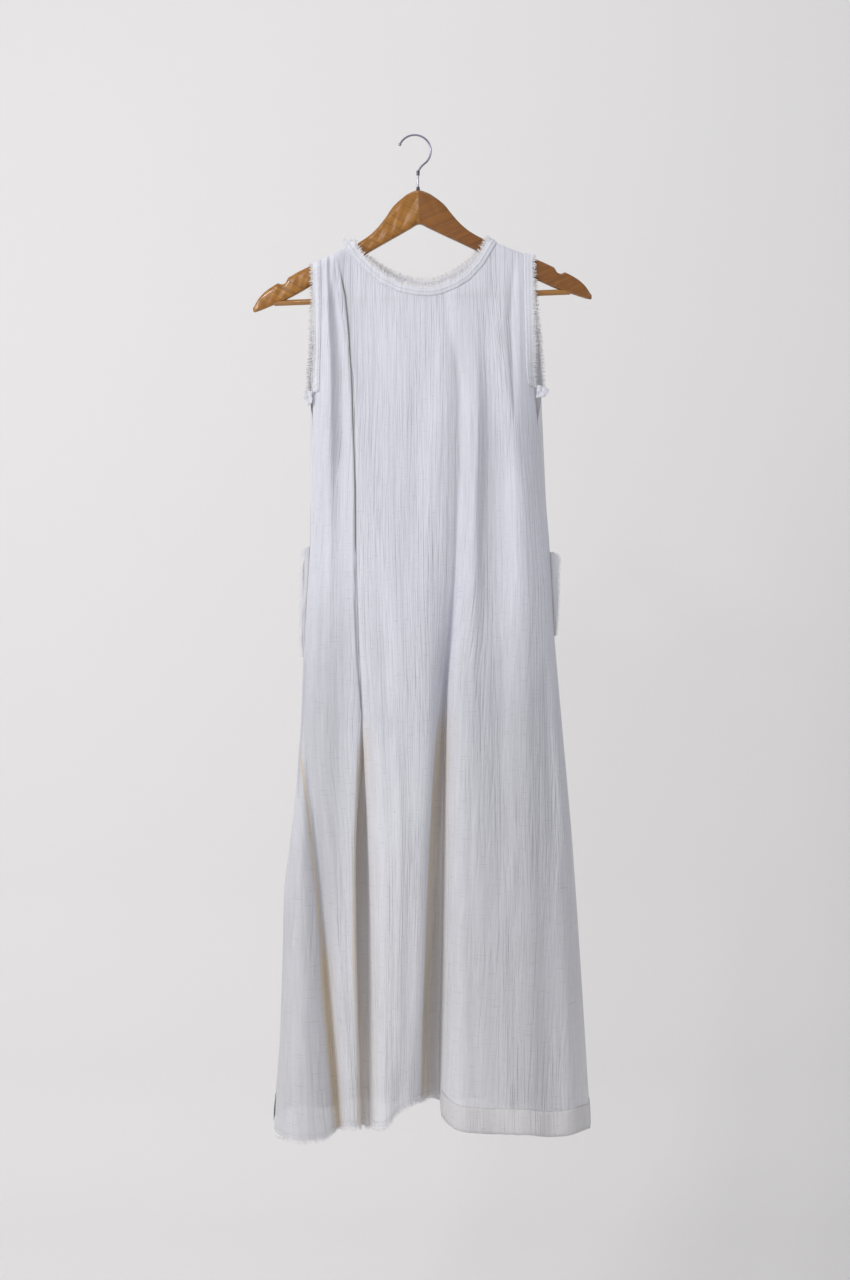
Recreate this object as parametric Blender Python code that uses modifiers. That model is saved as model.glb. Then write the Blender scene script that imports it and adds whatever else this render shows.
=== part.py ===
# Long sleeveless cotton dress on its wooden hanger. Metres, +Z up, the front faces -Y.
# The origin is the highest point inside the hook, where a rail carries it.
# Every piece of the dress is a wall of cloth through the sections worked out from the tables.

import math

import bmesh
import bpy
from mathutils import Matrix, Vector

# Cloth
WALL = 0.0012           # two layers of gauze
SEAM = 0.0003           # between two pieces that are sewn together
LIFT = 0.0021           # from the middle of a panel to the middle of a band sewn on it
FRINGE_WALL = 0.0008
ARM_ROUND = 0.010       # height over which a shoulder turns across the hanger's arm
ARM_DEPTH = 0.008       # how far the cloth comes forward in that turn
NECK_BAND = 0.009
NECK_BAND_ROWS = 4
NECK_FRAY = 0.0055
ARMHOLE_BAND = 0.011
ARMHOLE_BAND_COLUMNS = 4
ARMHOLE_FRAY = 0.0045
HEM_FRAY = 0.0105
POCKET_FRAY = 0.0028
FRAY_ROOT = 0.0011      # strip of whole cloth that the loose threads leave

# Rows of a panel: drops over the shoulder's turn, then shares of the way down to the hem
SHOULDER_DROPS = (0.0, 0.0012, 0.0035, 0.008)
ROW_SHARES = (0.0, 0.04, 0.08, 0.115, 0.15, 0.20, 0.265, 0.33, 0.39, 0.45, 0.51, 0.57,
              0.63, 0.69, 0.75, 0.81, 0.87, 0.925, 0.972, 1.0)
UNDERARM_ROW = 7
NECK_POINT_SHARES = (0.05, 0.13, 0.28)
HEM_BAND_ROW = 21
LAST_ROW = 22

# Hanger
STEM_X = 0.0044         # the stem stands a little beside the hook's top
WOOD_TOP = -0.0722
HANGER_TILT = math.radians(2.2)
WIRE = 0.0015           # radius
HOOK_RADIUS = 0.0200    # inside
BAR_RADIUS = 0.0038
BAR_HALF = 0.196
BAR_DROP = 0.1418
TIP_RADIUS = 0.0026
FERRULE_RADIUS, FERRULE_HEIGHT = 0.0026, 0.0045

# Heights at which the two fold tables are read: shoulder, underarm, waist, hip, knee, hem
LEVELS = (-0.164, -0.350, -0.561, -0.747, -0.959, -1.305)

# Fold lines of the front, from the wearer's right side seam to the left one:
# name, place across at each level, depth at each level, height of the hem there
FRONT = (
    ("side seam", (-0.134, -0.134, -0.143, -0.149, -0.166, -0.187),
     (-0.0085, -0.003, -0.0005, -0.0005, -0.0005, -0.0005), -1.306),
    ("side crown", (-0.130, -0.131, -0.1375, -0.148, -0.160, -0.171),
     (-0.0090, -0.006, -0.006, -0.004, -0.028, -0.038), -1.305),
    ("side ridge", (-0.128, -0.128, -0.137, -0.146, -0.146, -0.140),
     (-0.0095, -0.010, -0.010, -0.008, -0.042, -0.056), -1.304),
    ("side edge", (-0.125, -0.123, -0.134, -0.144, -0.131, -0.110),
     (-0.0095, -0.012, -0.013, -0.012, -0.034, -0.046), -1.300),
    ("side recess", (-0.122, -0.119, -0.130, -0.142, -0.127, -0.101),
     (-0.0095, -0.014, -0.016, -0.015, -0.012, 0.015), -1.296),
    ("second panel", (-0.119, -0.115, -0.124, -0.137, -0.119, -0.088),
     (-0.0100, -0.016, -0.020, -0.021, -0.034, -0.038), -1.292),
    ("second ridge", (-0.116, -0.110, -0.113, -0.121, -0.108, -0.082),
     (-0.0110, -0.018, -0.025, -0.030, -0.042, -0.045), -1.290),
    ("soft valley", (-0.112, -0.101, -0.100, -0.097, -0.093, -0.077),
     (-0.0085, -0.013, -0.025, -0.034, -0.042, -0.047), -1.290),
    ("tuck, outer layer ends", (-0.107, -0.081, -0.078, -0.072, -0.078, -0.071),
     (-0.0090, -0.018, -0.028, -0.036, -0.044, -0.045), -1.290),
    ("tuck, turn below", (-0.096, -0.069, -0.066, -0.062, -0.076, -0.068),
     (-0.0085, -0.0175, -0.0275, -0.0335, 0.004, -0.024), -1.292),
    ("tuck, turn above", (-0.096, -0.069, -0.066, -0.060, -0.069, -0.061),
     (-0.0105, -0.0200, -0.0302, -0.0365, 0.006, -0.024), -1.293),
    ("tuck, crease below", (-0.104, -0.077, -0.074, -0.068, -0.062, -0.055),
     (-0.0108, -0.0205, -0.0305, -0.0388, -0.014, -0.034), -1.293),
    ("tuck, crease above", (-0.105, -0.078, -0.075, -0.068, -0.058, -0.051),
     (-0.0130, -0.0229, -0.0333, -0.0425, -0.036, -0.043), -1.292),
    ("centre crown", (-0.090, -0.066, -0.062, -0.051, -0.038, -0.039),
     (-0.0100, -0.024, -0.0365, -0.051, -0.060, -0.062), -1.288),
    ("centre panel", (-0.059, -0.030, -0.023, -0.016, -0.012, -0.019),
     (-0.0120, -0.025, -0.040, -0.052, -0.052, -0.030), -1.271),
    ("centre slope", (-0.019, 0.012, 0.018, 0.012, 0.006, -0.002),
     (-0.0125, -0.025, -0.039, -0.043, -0.031, 0.008), -1.270),
    ("main fold, near wall", (0.020, 0.052, 0.049, 0.033, 0.022, 0.014),
     (-0.0125, -0.023, -0.033, -0.027, -0.008, 0.040), -1.269),
    ("main fold, bottom", (0.033, 0.060, 0.054, 0.042, 0.042, 0.046),
     (-0.0125, -0.021, -0.030, -0.010, 0.028, 0.060), -1.270),
    ("main fold, crease", (0.047, 0.067, 0.061, 0.044, 0.042, 0.035),
     (-0.0125, -0.024, -0.036, -0.042, -0.040, -0.024), -1.288),
    ("right ridge", (0.062, 0.082, 0.077, 0.061, 0.061, 0.057),
     (-0.0120, -0.026, -0.042, -0.056, -0.062, -0.064), -1.298),
    ("right valley", (0.081, 0.095, 0.094, 0.100, 0.105, 0.107),
     (-0.0115, -0.022, -0.037, -0.052, -0.060, -0.066), -1.302),
    ("right crown", (0.107, 0.129, 0.137, 0.140, 0.142, 0.144),
     (-0.0095, -0.025, -0.042, -0.056, -0.064, -0.072), -1.301),
    ("outer valley", (0.130, 0.142, 0.157, 0.171, 0.175, 0.173),
     (-0.0095, -0.018, -0.031, -0.044, -0.054, -0.062), -1.307),
    ("outer crown", (0.144, 0.151, 0.170, 0.185, 0.198, 0.208),
     (-0.0090, -0.012, -0.020, -0.030, -0.040, -0.050), -1.306),
    ("other side seam", (0.155, 0.157, 0.178, 0.192, 0.210, 0.232),
     (-0.0085, -0.004, -0.0005, -0.0005, -0.0005, -0.0005), -1.313),
)

# Fold lines of the back, in the same columns
BACK = (
    ("side seam", (-0.134, -0.134, -0.143, -0.149, -0.166, -0.187),
     (0.0085, 0.000, 0.0005, 0.0005, 0.0005, 0.0005), -1.306),
    ("side crown", (-0.131, -0.1380, -0.1385, -0.149, -0.166, -0.187),
     (0.0090, 0.008, 0.006, 0.007, 0.020, 0.030), -1.306),
    ("ridge", (-0.115, -0.122, -0.128, -0.132, -0.146, -0.158),
     (0.0100, 0.018, 0.027, 0.036, 0.056, 0.080), -1.305),
    ("valley", (-0.090, -0.103, -0.108, -0.110, -0.116, -0.122),
     (0.0095, 0.015, 0.021, 0.028, 0.040, 0.055), -1.303),
    ("ridge", (-0.072, -0.083, -0.084, -0.083, -0.082, -0.080),
     (0.0110, 0.019, 0.031, 0.044, 0.068, 0.100), -1.302),
    ("valley", (-0.050, -0.050, -0.050, -0.048, -0.042, -0.036),
     (0.0110, 0.016, 0.026, 0.035, 0.050, 0.074), -1.300),
    ("ridge", (-0.018, -0.016, -0.014, -0.010, -0.004, 0.004),
     (0.0120, 0.020, 0.033, 0.047, 0.072, 0.104), -1.300),
    ("valley", (0.020, 0.018, 0.020, 0.024, 0.032, 0.044),
     (0.0110, 0.017, 0.027, 0.037, 0.055, 0.082), -1.300),
    ("ridge", (0.054, 0.052, 0.056, 0.062, 0.070, 0.082),
     (0.0120, 0.020, 0.033, 0.047, 0.071, 0.103), -1.301),
    ("valley", (0.086, 0.084, 0.088, 0.095, 0.104, 0.118),
     (0.0105, 0.016, 0.025, 0.033, 0.047, 0.066), -1.303),
    ("ridge", (0.107, 0.112, 0.120, 0.130, 0.142, 0.158),
     (0.0095, 0.019, 0.030, 0.041, 0.060, 0.088), -1.306),
    ("valley", (0.128, 0.136, 0.146, 0.156, 0.170, 0.188),
     (0.0095, 0.015, 0.022, 0.028, 0.038, 0.052), -1.309),
    ("side crown", (0.153, 0.1680, 0.177, 0.192, 0.210, 0.232),
     (0.0090, 0.008, 0.006, 0.007, 0.020, 0.032), -1.312),
    ("side seam", (0.155, 0.157, 0.178, 0.192, 0.210, 0.232),
     (0.0085, 0.000, 0.0005, 0.0005, 0.0005, 0.0005), -1.313),
)

# Edges of the two panels, armhole above and side seam below:
# height, front across, front depth, back across, back depth
LEFT_EDGE = (
    (-0.168, -0.134, -0.0085, -0.1340, 0.0085),
    (-0.225, -0.133, -0.0085, -0.1345, 0.0080),
    (-0.276, -0.1325, -0.0075, -0.1360, 0.0070),
    (-0.312, -0.1335, -0.0060, -0.1385, 0.0060),
    (-0.346, -0.134, -0.0045, -0.1395, 0.0045),
    (-0.372, -0.135, -0.0035, -0.1355, -0.0015),
    (-0.415, -0.137, -0.0025, -0.1370, -0.0015),
    (-0.536, -0.138, -0.0005, -0.1380, 0.0005),
    (-0.698, -0.148, -0.0005, -0.1480, 0.0005),
    (-0.798, -0.151, -0.0005, -0.1510, 0.0005),
    (-0.886, -0.158, -0.0005, -0.1580, 0.0005),
    (-0.995, -0.173, -0.0005, -0.1730, 0.0005),
    (-1.082, -0.175, -0.0005, -0.1750, 0.0005),
    (-1.193, -0.178, -0.0005, -0.1780, 0.0005),
    (-1.316, -0.187, -0.0005, -0.1870, 0.0005),
)
RIGHT_EDGE = (
    (-0.158, 0.155, -0.0085, 0.1550, 0.0085),
    (-0.225, 0.156, -0.0085, 0.1600, 0.0080),
    (-0.276, 0.157, -0.0075, 0.1650, 0.0070),
    (-0.312, 0.156, -0.0060, 0.1680, 0.0060),
    (-0.339, 0.158, -0.0045, 0.1690, 0.0045),
    (-0.379, 0.162, -0.0035, 0.1625, -0.0020),
    (-0.429, 0.168, -0.0020, 0.1680, -0.0010),
    (-0.536, 0.178, -0.0005, 0.1780, 0.0005),
    (-0.667, 0.185, -0.0005, 0.1850, 0.0005),
    (-0.773, 0.194, -0.0005, 0.1940, 0.0005),
    (-0.911, 0.206, -0.0005, 0.2060, 0.0005),
    (-1.082, 0.218, -0.0005, 0.2180, 0.0005),
    (-1.290, 0.231, -0.0005, 0.2310, 0.0005),
    (-1.316, 0.232, -0.0005, 0.2320, 0.0005),
)

# Shoulder seams, and between them the line over the hanger's arms: across, height
SHOULDER = (
    (-0.1400, -0.1722), (-0.1340, -0.1694), (-0.1260, -0.1657), (-0.1050, -0.1556),
    (-0.0900, -0.1470), (-0.0760, -0.1400), (-0.0500, -0.1210), (-0.0300, -0.1000),
    (0.0044, -0.0700), (0.0400, -0.0960), (0.0650, -0.1180), (0.0900, -0.1335),
    (0.1070, -0.1414), (0.1335, -0.1522), (0.1480, -0.1570), (0.1600, -0.1585),
)
# Necklines: across, height
FRONT_NECK = (
    (-0.090, -0.147), (-0.080, -0.163), (-0.063, -0.181), (-0.046, -0.195),
    (-0.022, -0.207), (0.002, -0.212), (0.020, -0.213), (0.036, -0.210),
    (0.055, -0.202), (0.072, -0.191), (0.089, -0.172), (0.107, -0.1414),
)
BACK_NECK = (
    (-0.090, -0.147), (-0.075, -0.163), (-0.050, -0.180), (-0.025, -0.192),
    (0.000, -0.199), (0.014, -0.200), (0.030, -0.198), (0.055, -0.188),
    (0.080, -0.171), (0.107, -0.1414),
)

# Facing of each side pocket where it stands out of the side seam: height, width
POCKET_LEFT = ((-0.5435, 0.0030), (-0.5500, 0.0095), (-0.5610, 0.0080), (-0.5970, 0.0065),
               (-0.6400, 0.0048), (-0.6900, 0.0022))
POCKET_RIGHT = ((-0.5508, 0.0040), (-0.5560, 0.0105), (-0.5760, 0.0090), (-0.5970, 0.0075),
                (-0.6276, 0.0048), (-0.6620, 0.0020))
# Folded corners of the armhole binding under each arm: across, height
TAB_LEFT = ((-0.1486, -0.3376), (-0.1346, -0.3400), (-0.1356, -0.3520), (-0.1388, -0.3595))
TAB_RIGHT = ((0.1597, -0.3480), (0.1685, -0.3495), (0.1725, -0.3416), (0.1798, -0.3376),
             (0.1712, -0.3284), (0.1625, -0.3380))
TAB_DEPTH = (("left", -0.0082), ("right", -0.0054))

# One arm of the hanger: distance from the middle, top below the middle's top,
# underside below the same, thickness
ARM = (
    (0.0002, 0.0000, 0.0450, 0.0130),
    (0.0120, 0.0036, 0.0505, 0.0130),
    (0.0225, 0.0105, 0.0560, 0.0130),
    (0.0340, 0.0205, 0.0620, 0.0126),
    (0.0440, 0.0340, 0.0671, 0.0122),
    (0.0540, 0.0460, 0.0722, 0.0118),
    (0.0660, 0.0568, 0.0785, 0.0106),
    (0.0830, 0.0671, 0.0873, 0.0092),
    (0.1060, 0.0781, 0.0985, 0.0090),
    (0.1300, 0.0883, 0.1115, 0.0094),
    (0.1575, 0.0995, 0.1270, 0.0110),
    (0.1780, 0.1100, 0.1370, 0.0110),
    (0.1950, 0.1185, 0.1435, 0.0110),
    (0.2070, 0.1262, 0.1480, 0.0106),
    (0.2160, 0.1350, 0.1512, 0.0100),
    (0.2225, 0.1450, 0.1530, 0.0060),
)
NOTCH_AT, NOTCH_DROP, NOTCH_RADIUS = 0.1845, 0.1105, 0.0070
GROOVE_FROM, GROOVE_RADIUS = 0.170, 0.0042

COTTON = (0.72, 0.73, 0.77)
COTTON_FRAY = (0.78, 0.76, 0.75)
WOOD_LIGHT, WOOD_DARK = (0.42, 0.19, 0.05), (0.33, 0.14, 0.04)
STEEL = (0.62, 0.62, 0.64)


# Curves through table rows

def eased(places, values, at):
    """Smooth reading of a table that never overshoots its rows."""
    if at <= places[0]:
        return values[0]
    if at >= places[-1]:
        return values[-1]
    i = max(k for k in range(len(places) - 1) if places[k] <= at)

    def slope(k):
        if k <= 0 or k >= len(places) - 1:
            return 0.0 if k <= 0 else rise(len(places) - 2)
        before, after = rise(k - 1), rise(k)
        return 0.0 if before * after <= 0 else 2 * before * after / (before + after)

    def rise(k):
        return (values[k + 1] - values[k]) / (places[k + 1] - places[k])

    span = places[i + 1] - places[i]
    s = (at - places[i]) / span
    start, end = slope(i) * span, slope(i + 1) * span
    return ((2 * s**3 - 3 * s**2 + 1) * values[i] + (s**3 - 2 * s**2 + s) * start
            + (3 * s**2 - 2 * s**3) * values[i + 1] + (s**3 - s**2) * end)


def straight(rows, at, column=1):
    """Straight-line reading of a table whose first column rises."""
    if at <= rows[0][0]:
        return rows[0][column]
    for low, high in zip(rows, rows[1:]):
        if at <= high[0]:
            share = (at - low[0]) / (high[0] - low[0])
            return low[column] + share * (high[column] - low[column])
    return rows[-1][column]


def between(p0, p1, p2, p3, s):
    """Centripetal Catmull-Rom curve from p1 to p2."""
    t0 = 0.0
    t1 = t0 + max((p1 - p0).length, 1e-5) ** 0.5
    t2 = t1 + max((p2 - p1).length, 1e-5) ** 0.5
    t3 = t2 + max((p3 - p2).length, 1e-5) ** 0.5
    t = t1 + s * (t2 - t1)
    a1 = p0.lerp(p1, (t - t0) / (t1 - t0))
    a2 = p1.lerp(p2, (t - t1) / (t2 - t1))
    a3 = p2.lerp(p3, (t - t2) / (t3 - t2))
    b1 = a1.lerp(a2, (t - t0) / (t2 - t0))
    b2 = a2.lerp(a3, (t - t1) / (t3 - t1))
    return b1.lerp(b2, (t - t1) / (t2 - t1))


class Panel:
    """One cut panel. t counts its fold lines; r counts its rows, from the top edge to the hem."""

    def __init__(self, lines, neck, neck_lines, outward, edge_column, columns):
        self.lines, self.neck, self.neck_lines = lines, neck, neck_lines
        self.outward, self.edge_column, self.columns = outward, edge_column, columns
        self.last = len(lines) - 1

    def line(self, k, z):
        """Place and depth of fold line k at height z."""
        if k in (0, self.last):
            table = [(-row[0], *row[1:]) for row in (LEFT_EDGE if k == 0 else RIGHT_EDGE)]
            column = self.edge_column
            return Vector((straight(table, -z, column), straight(table, -z, column + 1)))
        down = [-level for level in LEVELS]
        return Vector((eased(down, self.lines[k][1], -z), eased(down, self.lines[k][2], -z)))

    def section(self, t, z):
        """Point of the panel's curve at height z."""
        k = min(int(t), self.last - 1)
        p1, p2 = self.line(k, z), self.line(k + 1, z)
        p0 = self.line(k - 1, z) if k > 0 else p1 + (p1 - p2)
        p3 = self.line(k + 2, z) if k + 2 <= self.last else p2 + (p2 - p1)
        return between(p0, p1, p2, p3, t - k)

    def top(self, t):
        """Height of the top edge: shoulder seam or neckline."""
        z = LEVELS[0]
        for _ in range(6):
            x = self.section(t, z).x
            inside = self.neck_lines[0] < t < self.neck_lines[1]
            z = straight(self.neck if inside else SHOULDER, x)
        return z

    def hem(self, t):
        k = min(int(t), self.last - 1)
        low, high = self.lines[k][3], self.lines[k + 1][3]
        return low + (t - k) * (high - low)

    def height(self, t, r):
        turn = len(SHOULDER_DROPS) - 1
        top = self.top(t)
        if r <= turn:
            return top - straight(tuple(enumerate(SHOULDER_DROPS)), r)
        below = top - SHOULDER_DROPS[-1]
        return below + (self.hem(t) - below) * straight(tuple(enumerate(ROW_SHARES)), r - turn)

    def over_arm(self, x, y, z):
        """The same point where the cloth turns over the hanger's arm."""
        below = (straight(SHOULDER, x) - z) / ARM_ROUND
        turned = math.sqrt(max(0.0, 1 - (1 - min(max(below, 0.0), 1.0)) ** 2))
        return Vector((x, y - self.outward * ARM_DEPTH * (1 - turned), z))

    def point(self, t, r):
        z = self.height(t, r)
        flat = self.section(t, z)
        return self.over_arm(flat.x, flat.y, z)

    def lifted(self, t, r, lift=LIFT):
        """The same point moved out, square to the cloth."""
        step = 0.08
        across = self.point(min(t + step, self.last), r) - self.point(max(t - step, 0), r)
        down = self.point(t, min(r + step, LAST_ROW)) - self.point(t, max(r - step, 0))
        out = down.cross(across) if self.outward < 0 else across.cross(down)
        return self.point(t, r) + out.normalized() * lift

    def neck_columns(self):
        return [t for t in self.columns if self.neck_lines[0] <= t <= self.neck_lines[1]]

    def neck_point(self, t, width):
        """Point this far above the neckline, square to it."""
        step = 0.02
        low, high = self.neck_lines
        edge = [self.section(s, self.top(s)) for s in (max(t - step, low), t, min(t + step, high))]
        heights = [self.top(max(t - step, low + 1e-6)), self.top(t), self.top(min(t + step, high - 1e-6))]
        along = Vector((edge[2].x - edge[0].x, heights[2] - heights[0])).normalized()
        x, z = edge[1].x - along.y * width, heights[1] + along.x * width
        return self.over_arm(x, edge[1].y, z)


def column_list(last, wide, neck_lines):
    """Fold lines, with more columns where lines stand wide apart and beside the neck points."""
    columns = [float(k) for k in range(last + 1)]
    columns += [k + 0.5 for k in range(last) if any(low <= k < high for low, high in wide)]
    for share in NECK_POINT_SHARES:
        columns += [neck_lines[0] + share, neck_lines[1] - share]
    return sorted(columns)


def panel(lines, neck, neck_lines, outward, edge_column, wide):
    columns = column_list(len(lines) - 1, wide, neck_lines)
    return Panel(lines, neck, neck_lines, outward, edge_column, columns)


front = panel(FRONT, FRONT_NECK, (13, 21), -1, 1, ((13, 17), (18, 23)))
back = panel(BACK, BACK_NECK, (3, 10), 1, 3, ((1, 12),))


# Scene set-up

def start_scene():
    for obj in list(bpy.data.objects):
        bpy.data.objects.remove(obj)
    for name in ("cotton dress on hanger", "cutters"):
        collection = bpy.data.collections.new(name)
        bpy.context.scene.collection.children.link(collection)


def material(name, colour, roughness, metallic=0.0):
    made = bpy.data.materials.new(name)
    made.use_nodes = True
    shader = made.node_tree.nodes["Principled BSDF"]
    shader.inputs["Base Color"].default_value = (*colour, 1)
    shader.inputs["Roughness"].default_value = roughness
    shader.inputs["Metallic"].default_value = metallic
    made.diffuse_color = (*colour, 1)
    return made


def place(name, data, colour, roughness, metallic=0.0, parent=None):
    obj = bpy.data.objects.new(name, data)
    bpy.data.collections["cotton dress on hanger"].objects.link(obj)
    data.materials.append(material(name, colour, roughness, metallic))
    obj.parent = parent
    return obj


def cloth(name, grid, wall=WALL, colour=COTTON):
    """A wall of cloth through a grid of points, rows of equal length."""
    rows, columns = len(grid), len(grid[0])
    shape = bmesh.new()
    bmesh.ops.create_grid(shape, x_segments=columns - 1, y_segments=rows - 1, size=0.5)
    shape.verts.ensure_lookup_table()
    for vertex in shape.verts:
        column = round((vertex.co.x + 0.5) * (columns - 1))
        row = round((vertex.co.y + 0.5) * (rows - 1))
        vertex.co = grid[row][column]
    return thicken(name, shape, wall, colour)


def thicken(name, shape, wall, colour):
    mesh = bpy.data.meshes.new(name)
    bmesh.ops.recalc_face_normals(shape, faces=shape.faces)
    shape.to_mesh(mesh)
    shape.free()
    mesh.shade_smooth()
    obj = place(name, mesh, colour, 0.9)
    solid = obj.modifiers.new("wall", "SOLIDIFY")
    solid.thickness = wall
    solid.offset = 0
    return obj


# Pieces of the dress

def panel_piece(name, panel):
    return cloth(name, [[panel.point(t, r) for t in panel.columns] for r in range(LAST_ROW + 1)])


def neck_band(name, panel):
    widths = [SEAM + (NECK_BAND - SEAM) * i / NECK_BAND_ROWS for i in range(NECK_BAND_ROWS + 1)]
    return cloth(name, [[panel.neck_point(t, width) for t in panel.neck_columns()] for width in widths])


def armhole_path(side):
    """Armhole from the front underarm over the shoulder to the back one, as (panel, t, r)."""
    path = [(front, side_line(side, front), r) for r in range(UNDERARM_ROW, -1, -1)]
    return path + [(back, side_line(side, back), r) for r in range(1, UNDERARM_ROW + 1)]


def side_line(side, panel):
    return 0.0 if side == "left" else float(panel.last)


def inset(panel, t, r, distance):
    """t at this distance in from the armhole edge, along the cloth."""
    step = 0.05 if t == 0 else -0.05
    here, gone = panel.point(t, r), 0.0
    while gone < distance:
        t += step
        ahead = panel.point(t, r)
        gone += (ahead - here).length
        here = ahead
    return t


def armhole_band(side):
    grid = []
    for i in range(ARMHOLE_BAND_COLUMNS + 1):
        distance = ARMHOLE_BAND * i / ARMHOLE_BAND_COLUMNS
        grid.append([panel.lifted(inset(panel, t, r, distance), r) for panel, t, r in armhole_path(side)])
    return cloth(f"armhole_band_{side}", grid)


def hem_band(name, panel, columns):
    return cloth(name, [[panel.lifted(t, r) for t in columns] for r in (HEM_BAND_ROW, LAST_ROW)])


def pocket_edge(side, rows, share):
    """Line down a pocket facing, from the side seam (share 0) to its free edge (share 1)."""
    way = -1 if side == "left" else 1
    table = [(-row[0], *row[1:]) for row in (LEFT_EDGE if side == "left" else RIGHT_EDGE)]
    line = []
    for height, width in rows:
        seam = straight(table, -height) + way * (WALL / 2 + 3 * SEAM)
        line.append(Vector((seam + way * (width - WALL) * share, 0, height)))
    return line


def pocket_facing(side, rows):
    return cloth(f"pocket_facing_{side}", [pocket_edge(side, rows, 0.0), pocket_edge(side, rows, 1.0)])


def underarm_tab(side, corners, depth):
    shape = bmesh.new()
    face = shape.faces.new([shape.verts.new((x, depth, z)) for x, z in corners])
    face.normal_update()
    return thicken(f"underarm_tab_{side}", shape, WALL, COTTON_FRAY)


# Frayed edges: a narrow root strip with loose threads standing from it

def fringe(name, edge, pitch, length, root=FRAY_ROOT):
    """edge holds (place, direction of the threads) pairs, the corners of the cut edge."""
    line = []
    for (a, way_a), (b, way_b) in zip(edge, edge[1:]):
        count = max(1, round((b - a).length / pitch))
        line += [(a.lerp(b, i / count), way_a.lerp(way_b, i / count).normalized()) for i in range(count)]
    line.append(edge[-1])
    shape = bmesh.new()
    high = [shape.verts.new(at + way * 2 * SEAM) for at, way in line]
    low = [shape.verts.new(at + way * (2 * SEAM + root)) for at, way in line]
    for i in range(len(line) - 1):
        shape.faces.new((high[i], high[i + 1], low[i + 1], low[i]))
        at, way = line[i][0].lerp(line[i + 1][0], 0.5), line[i][1]
        lean = 0.28 * math.sin(2.4 * i + 0.7)
        reach = length * (0.86 + 0.14 * math.sin(5.1 * i + 1.3))
        tip = shape.verts.new(at + way * (2 * SEAM + reach) + (line[i + 1][0] - line[i][0]) * lean)
        shape.faces.new((low[i], low[i + 1], tip))
    print(name, len(line) - 1, "threads")
    return thicken(name, shape, FRINGE_WALL, COTTON_FRAY)


def neck_fringe(name, panel):
    edge = []
    for t in panel.neck_columns():
        at, below = panel.neck_point(t, NECK_BAND), panel.neck_point(t, NECK_BAND - FRAY_ROOT)
        edge.append((at, (at - below).normalized()))
    return fringe(name, edge, 0.0065, NECK_FRAY)


def armhole_fringe(side):
    edge = []
    for panel, t, r in armhole_path(side):
        at, inner = panel.lifted(t, r), panel.lifted(inset(panel, t, r, FRAY_ROOT), r)
        edge.append((at, (at - inner).normalized()))
    return fringe(f"fringe_armhole_{side}", edge, 0.0095, ARMHOLE_FRAY)


def hem_fringe(name, panel, last_line):
    columns = [t for t in panel.columns if t <= last_line]
    return fringe(name, [(panel.point(t, LAST_ROW), Vector((0, 0, -1))) for t in columns], 0.0078, HEM_FRAY)


def pocket_fringe(side, rows):
    way = Vector((-1 if side == "left" else 1, 0, 0))
    edge = [(at, way) for at in pocket_edge(side, rows, 1.0)[1:]]
    return fringe(f"fringe_pocket_{side}", edge, 0.010, POCKET_FRAY, FRAY_ROOT / 2)


# The hanger

def hanger_frame():
    """An empty at the top of the wood, turned by the hanger's tilt."""
    empty = bpy.data.objects.new("hanger frame", None)
    bpy.data.collections["cotton dress on hanger"].objects.link(empty)
    empty.location = (STEM_X, 0, WOOD_TOP)
    empty.rotation_euler = (0, -HANGER_TILT, 0)
    return empty


def cutter(name, radius, length, location, along_x, parent):
    shape = bmesh.new()
    bmesh.ops.create_cone(shape, cap_ends=True, segments=20, radius1=radius, radius2=radius, depth=length)
    turn = Matrix.Rotation(math.pi / 2, 4, "Y" if along_x else "X")
    bmesh.ops.transform(shape, matrix=turn, verts=shape.verts)
    mesh = bpy.data.meshes.new(name)
    shape.to_mesh(mesh)
    shape.free()
    obj = bpy.data.objects.new(name, mesh)
    bpy.data.collections["cutters"].objects.link(obj)
    obj.location, obj.parent = location, parent
    obj.hide_render, obj.display_type = True, "WIRE"
    return obj


def hanger_arm(side, frame):
    """Loft through upright stadium sections, cut by the strap notch and the bar's groove."""
    way = -1 if side == "left" else 1
    around = 6
    shape = bmesh.new()
    rings = []
    for out, top, under, thick in ARM:
        radius = min(thick, under - top) / 2
        ring = []
        for end in (1, -1):
            centre = -(top + radius) if end == 1 else -(under - radius)
            for i in range(around):
                angle = math.pi * i / (around - 1)
                y, z = radius * math.cos(angle), radius * math.sin(angle)
                y *= thick / (2 * radius)
                ring.append(shape.verts.new((way * out, end * y, centre + end * z)))
        rings.append(ring)
    for first, second in zip(rings, rings[1:]):
        for i in range(len(first)):
            j = (i + 1) % len(first)
            shape.faces.new((first[i], first[j], second[j], second[i]))
    shape.faces.new(rings[0])
    shape.faces.new(rings[-1])
    bmesh.ops.recalc_face_normals(shape, faces=shape.faces)
    mesh = bpy.data.meshes.new(f"hanger_{side}")
    shape.to_mesh(mesh)
    shape.free()
    mesh.shade_smooth()
    mesh.set_sharp_from_angle(angle=math.radians(50))
    colour = WOOD_LIGHT if side == "left" else WOOD_DARK
    arm = place(f"hanger_{side}", mesh, colour, 0.35, parent=frame)
    notch = cutter(f"notch {side}", NOTCH_RADIUS, 0.03, (way * NOTCH_AT, 0, -NOTCH_DROP), False, frame)
    groove_length = BAR_HALF + SEAM - GROOVE_FROM
    groove_middle = GROOVE_FROM + groove_length / 2
    groove = cutter(f"groove {side}", GROOVE_RADIUS, groove_length,
                    (way * groove_middle, 0, -BAR_DROP), True, frame)
    for name, tool in (("notch", notch), ("groove", groove)):
        cut = arm.modifiers.new(name, "BOOLEAN")
        cut.object, cut.operation = tool, "DIFFERENCE"
    return arm


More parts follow.
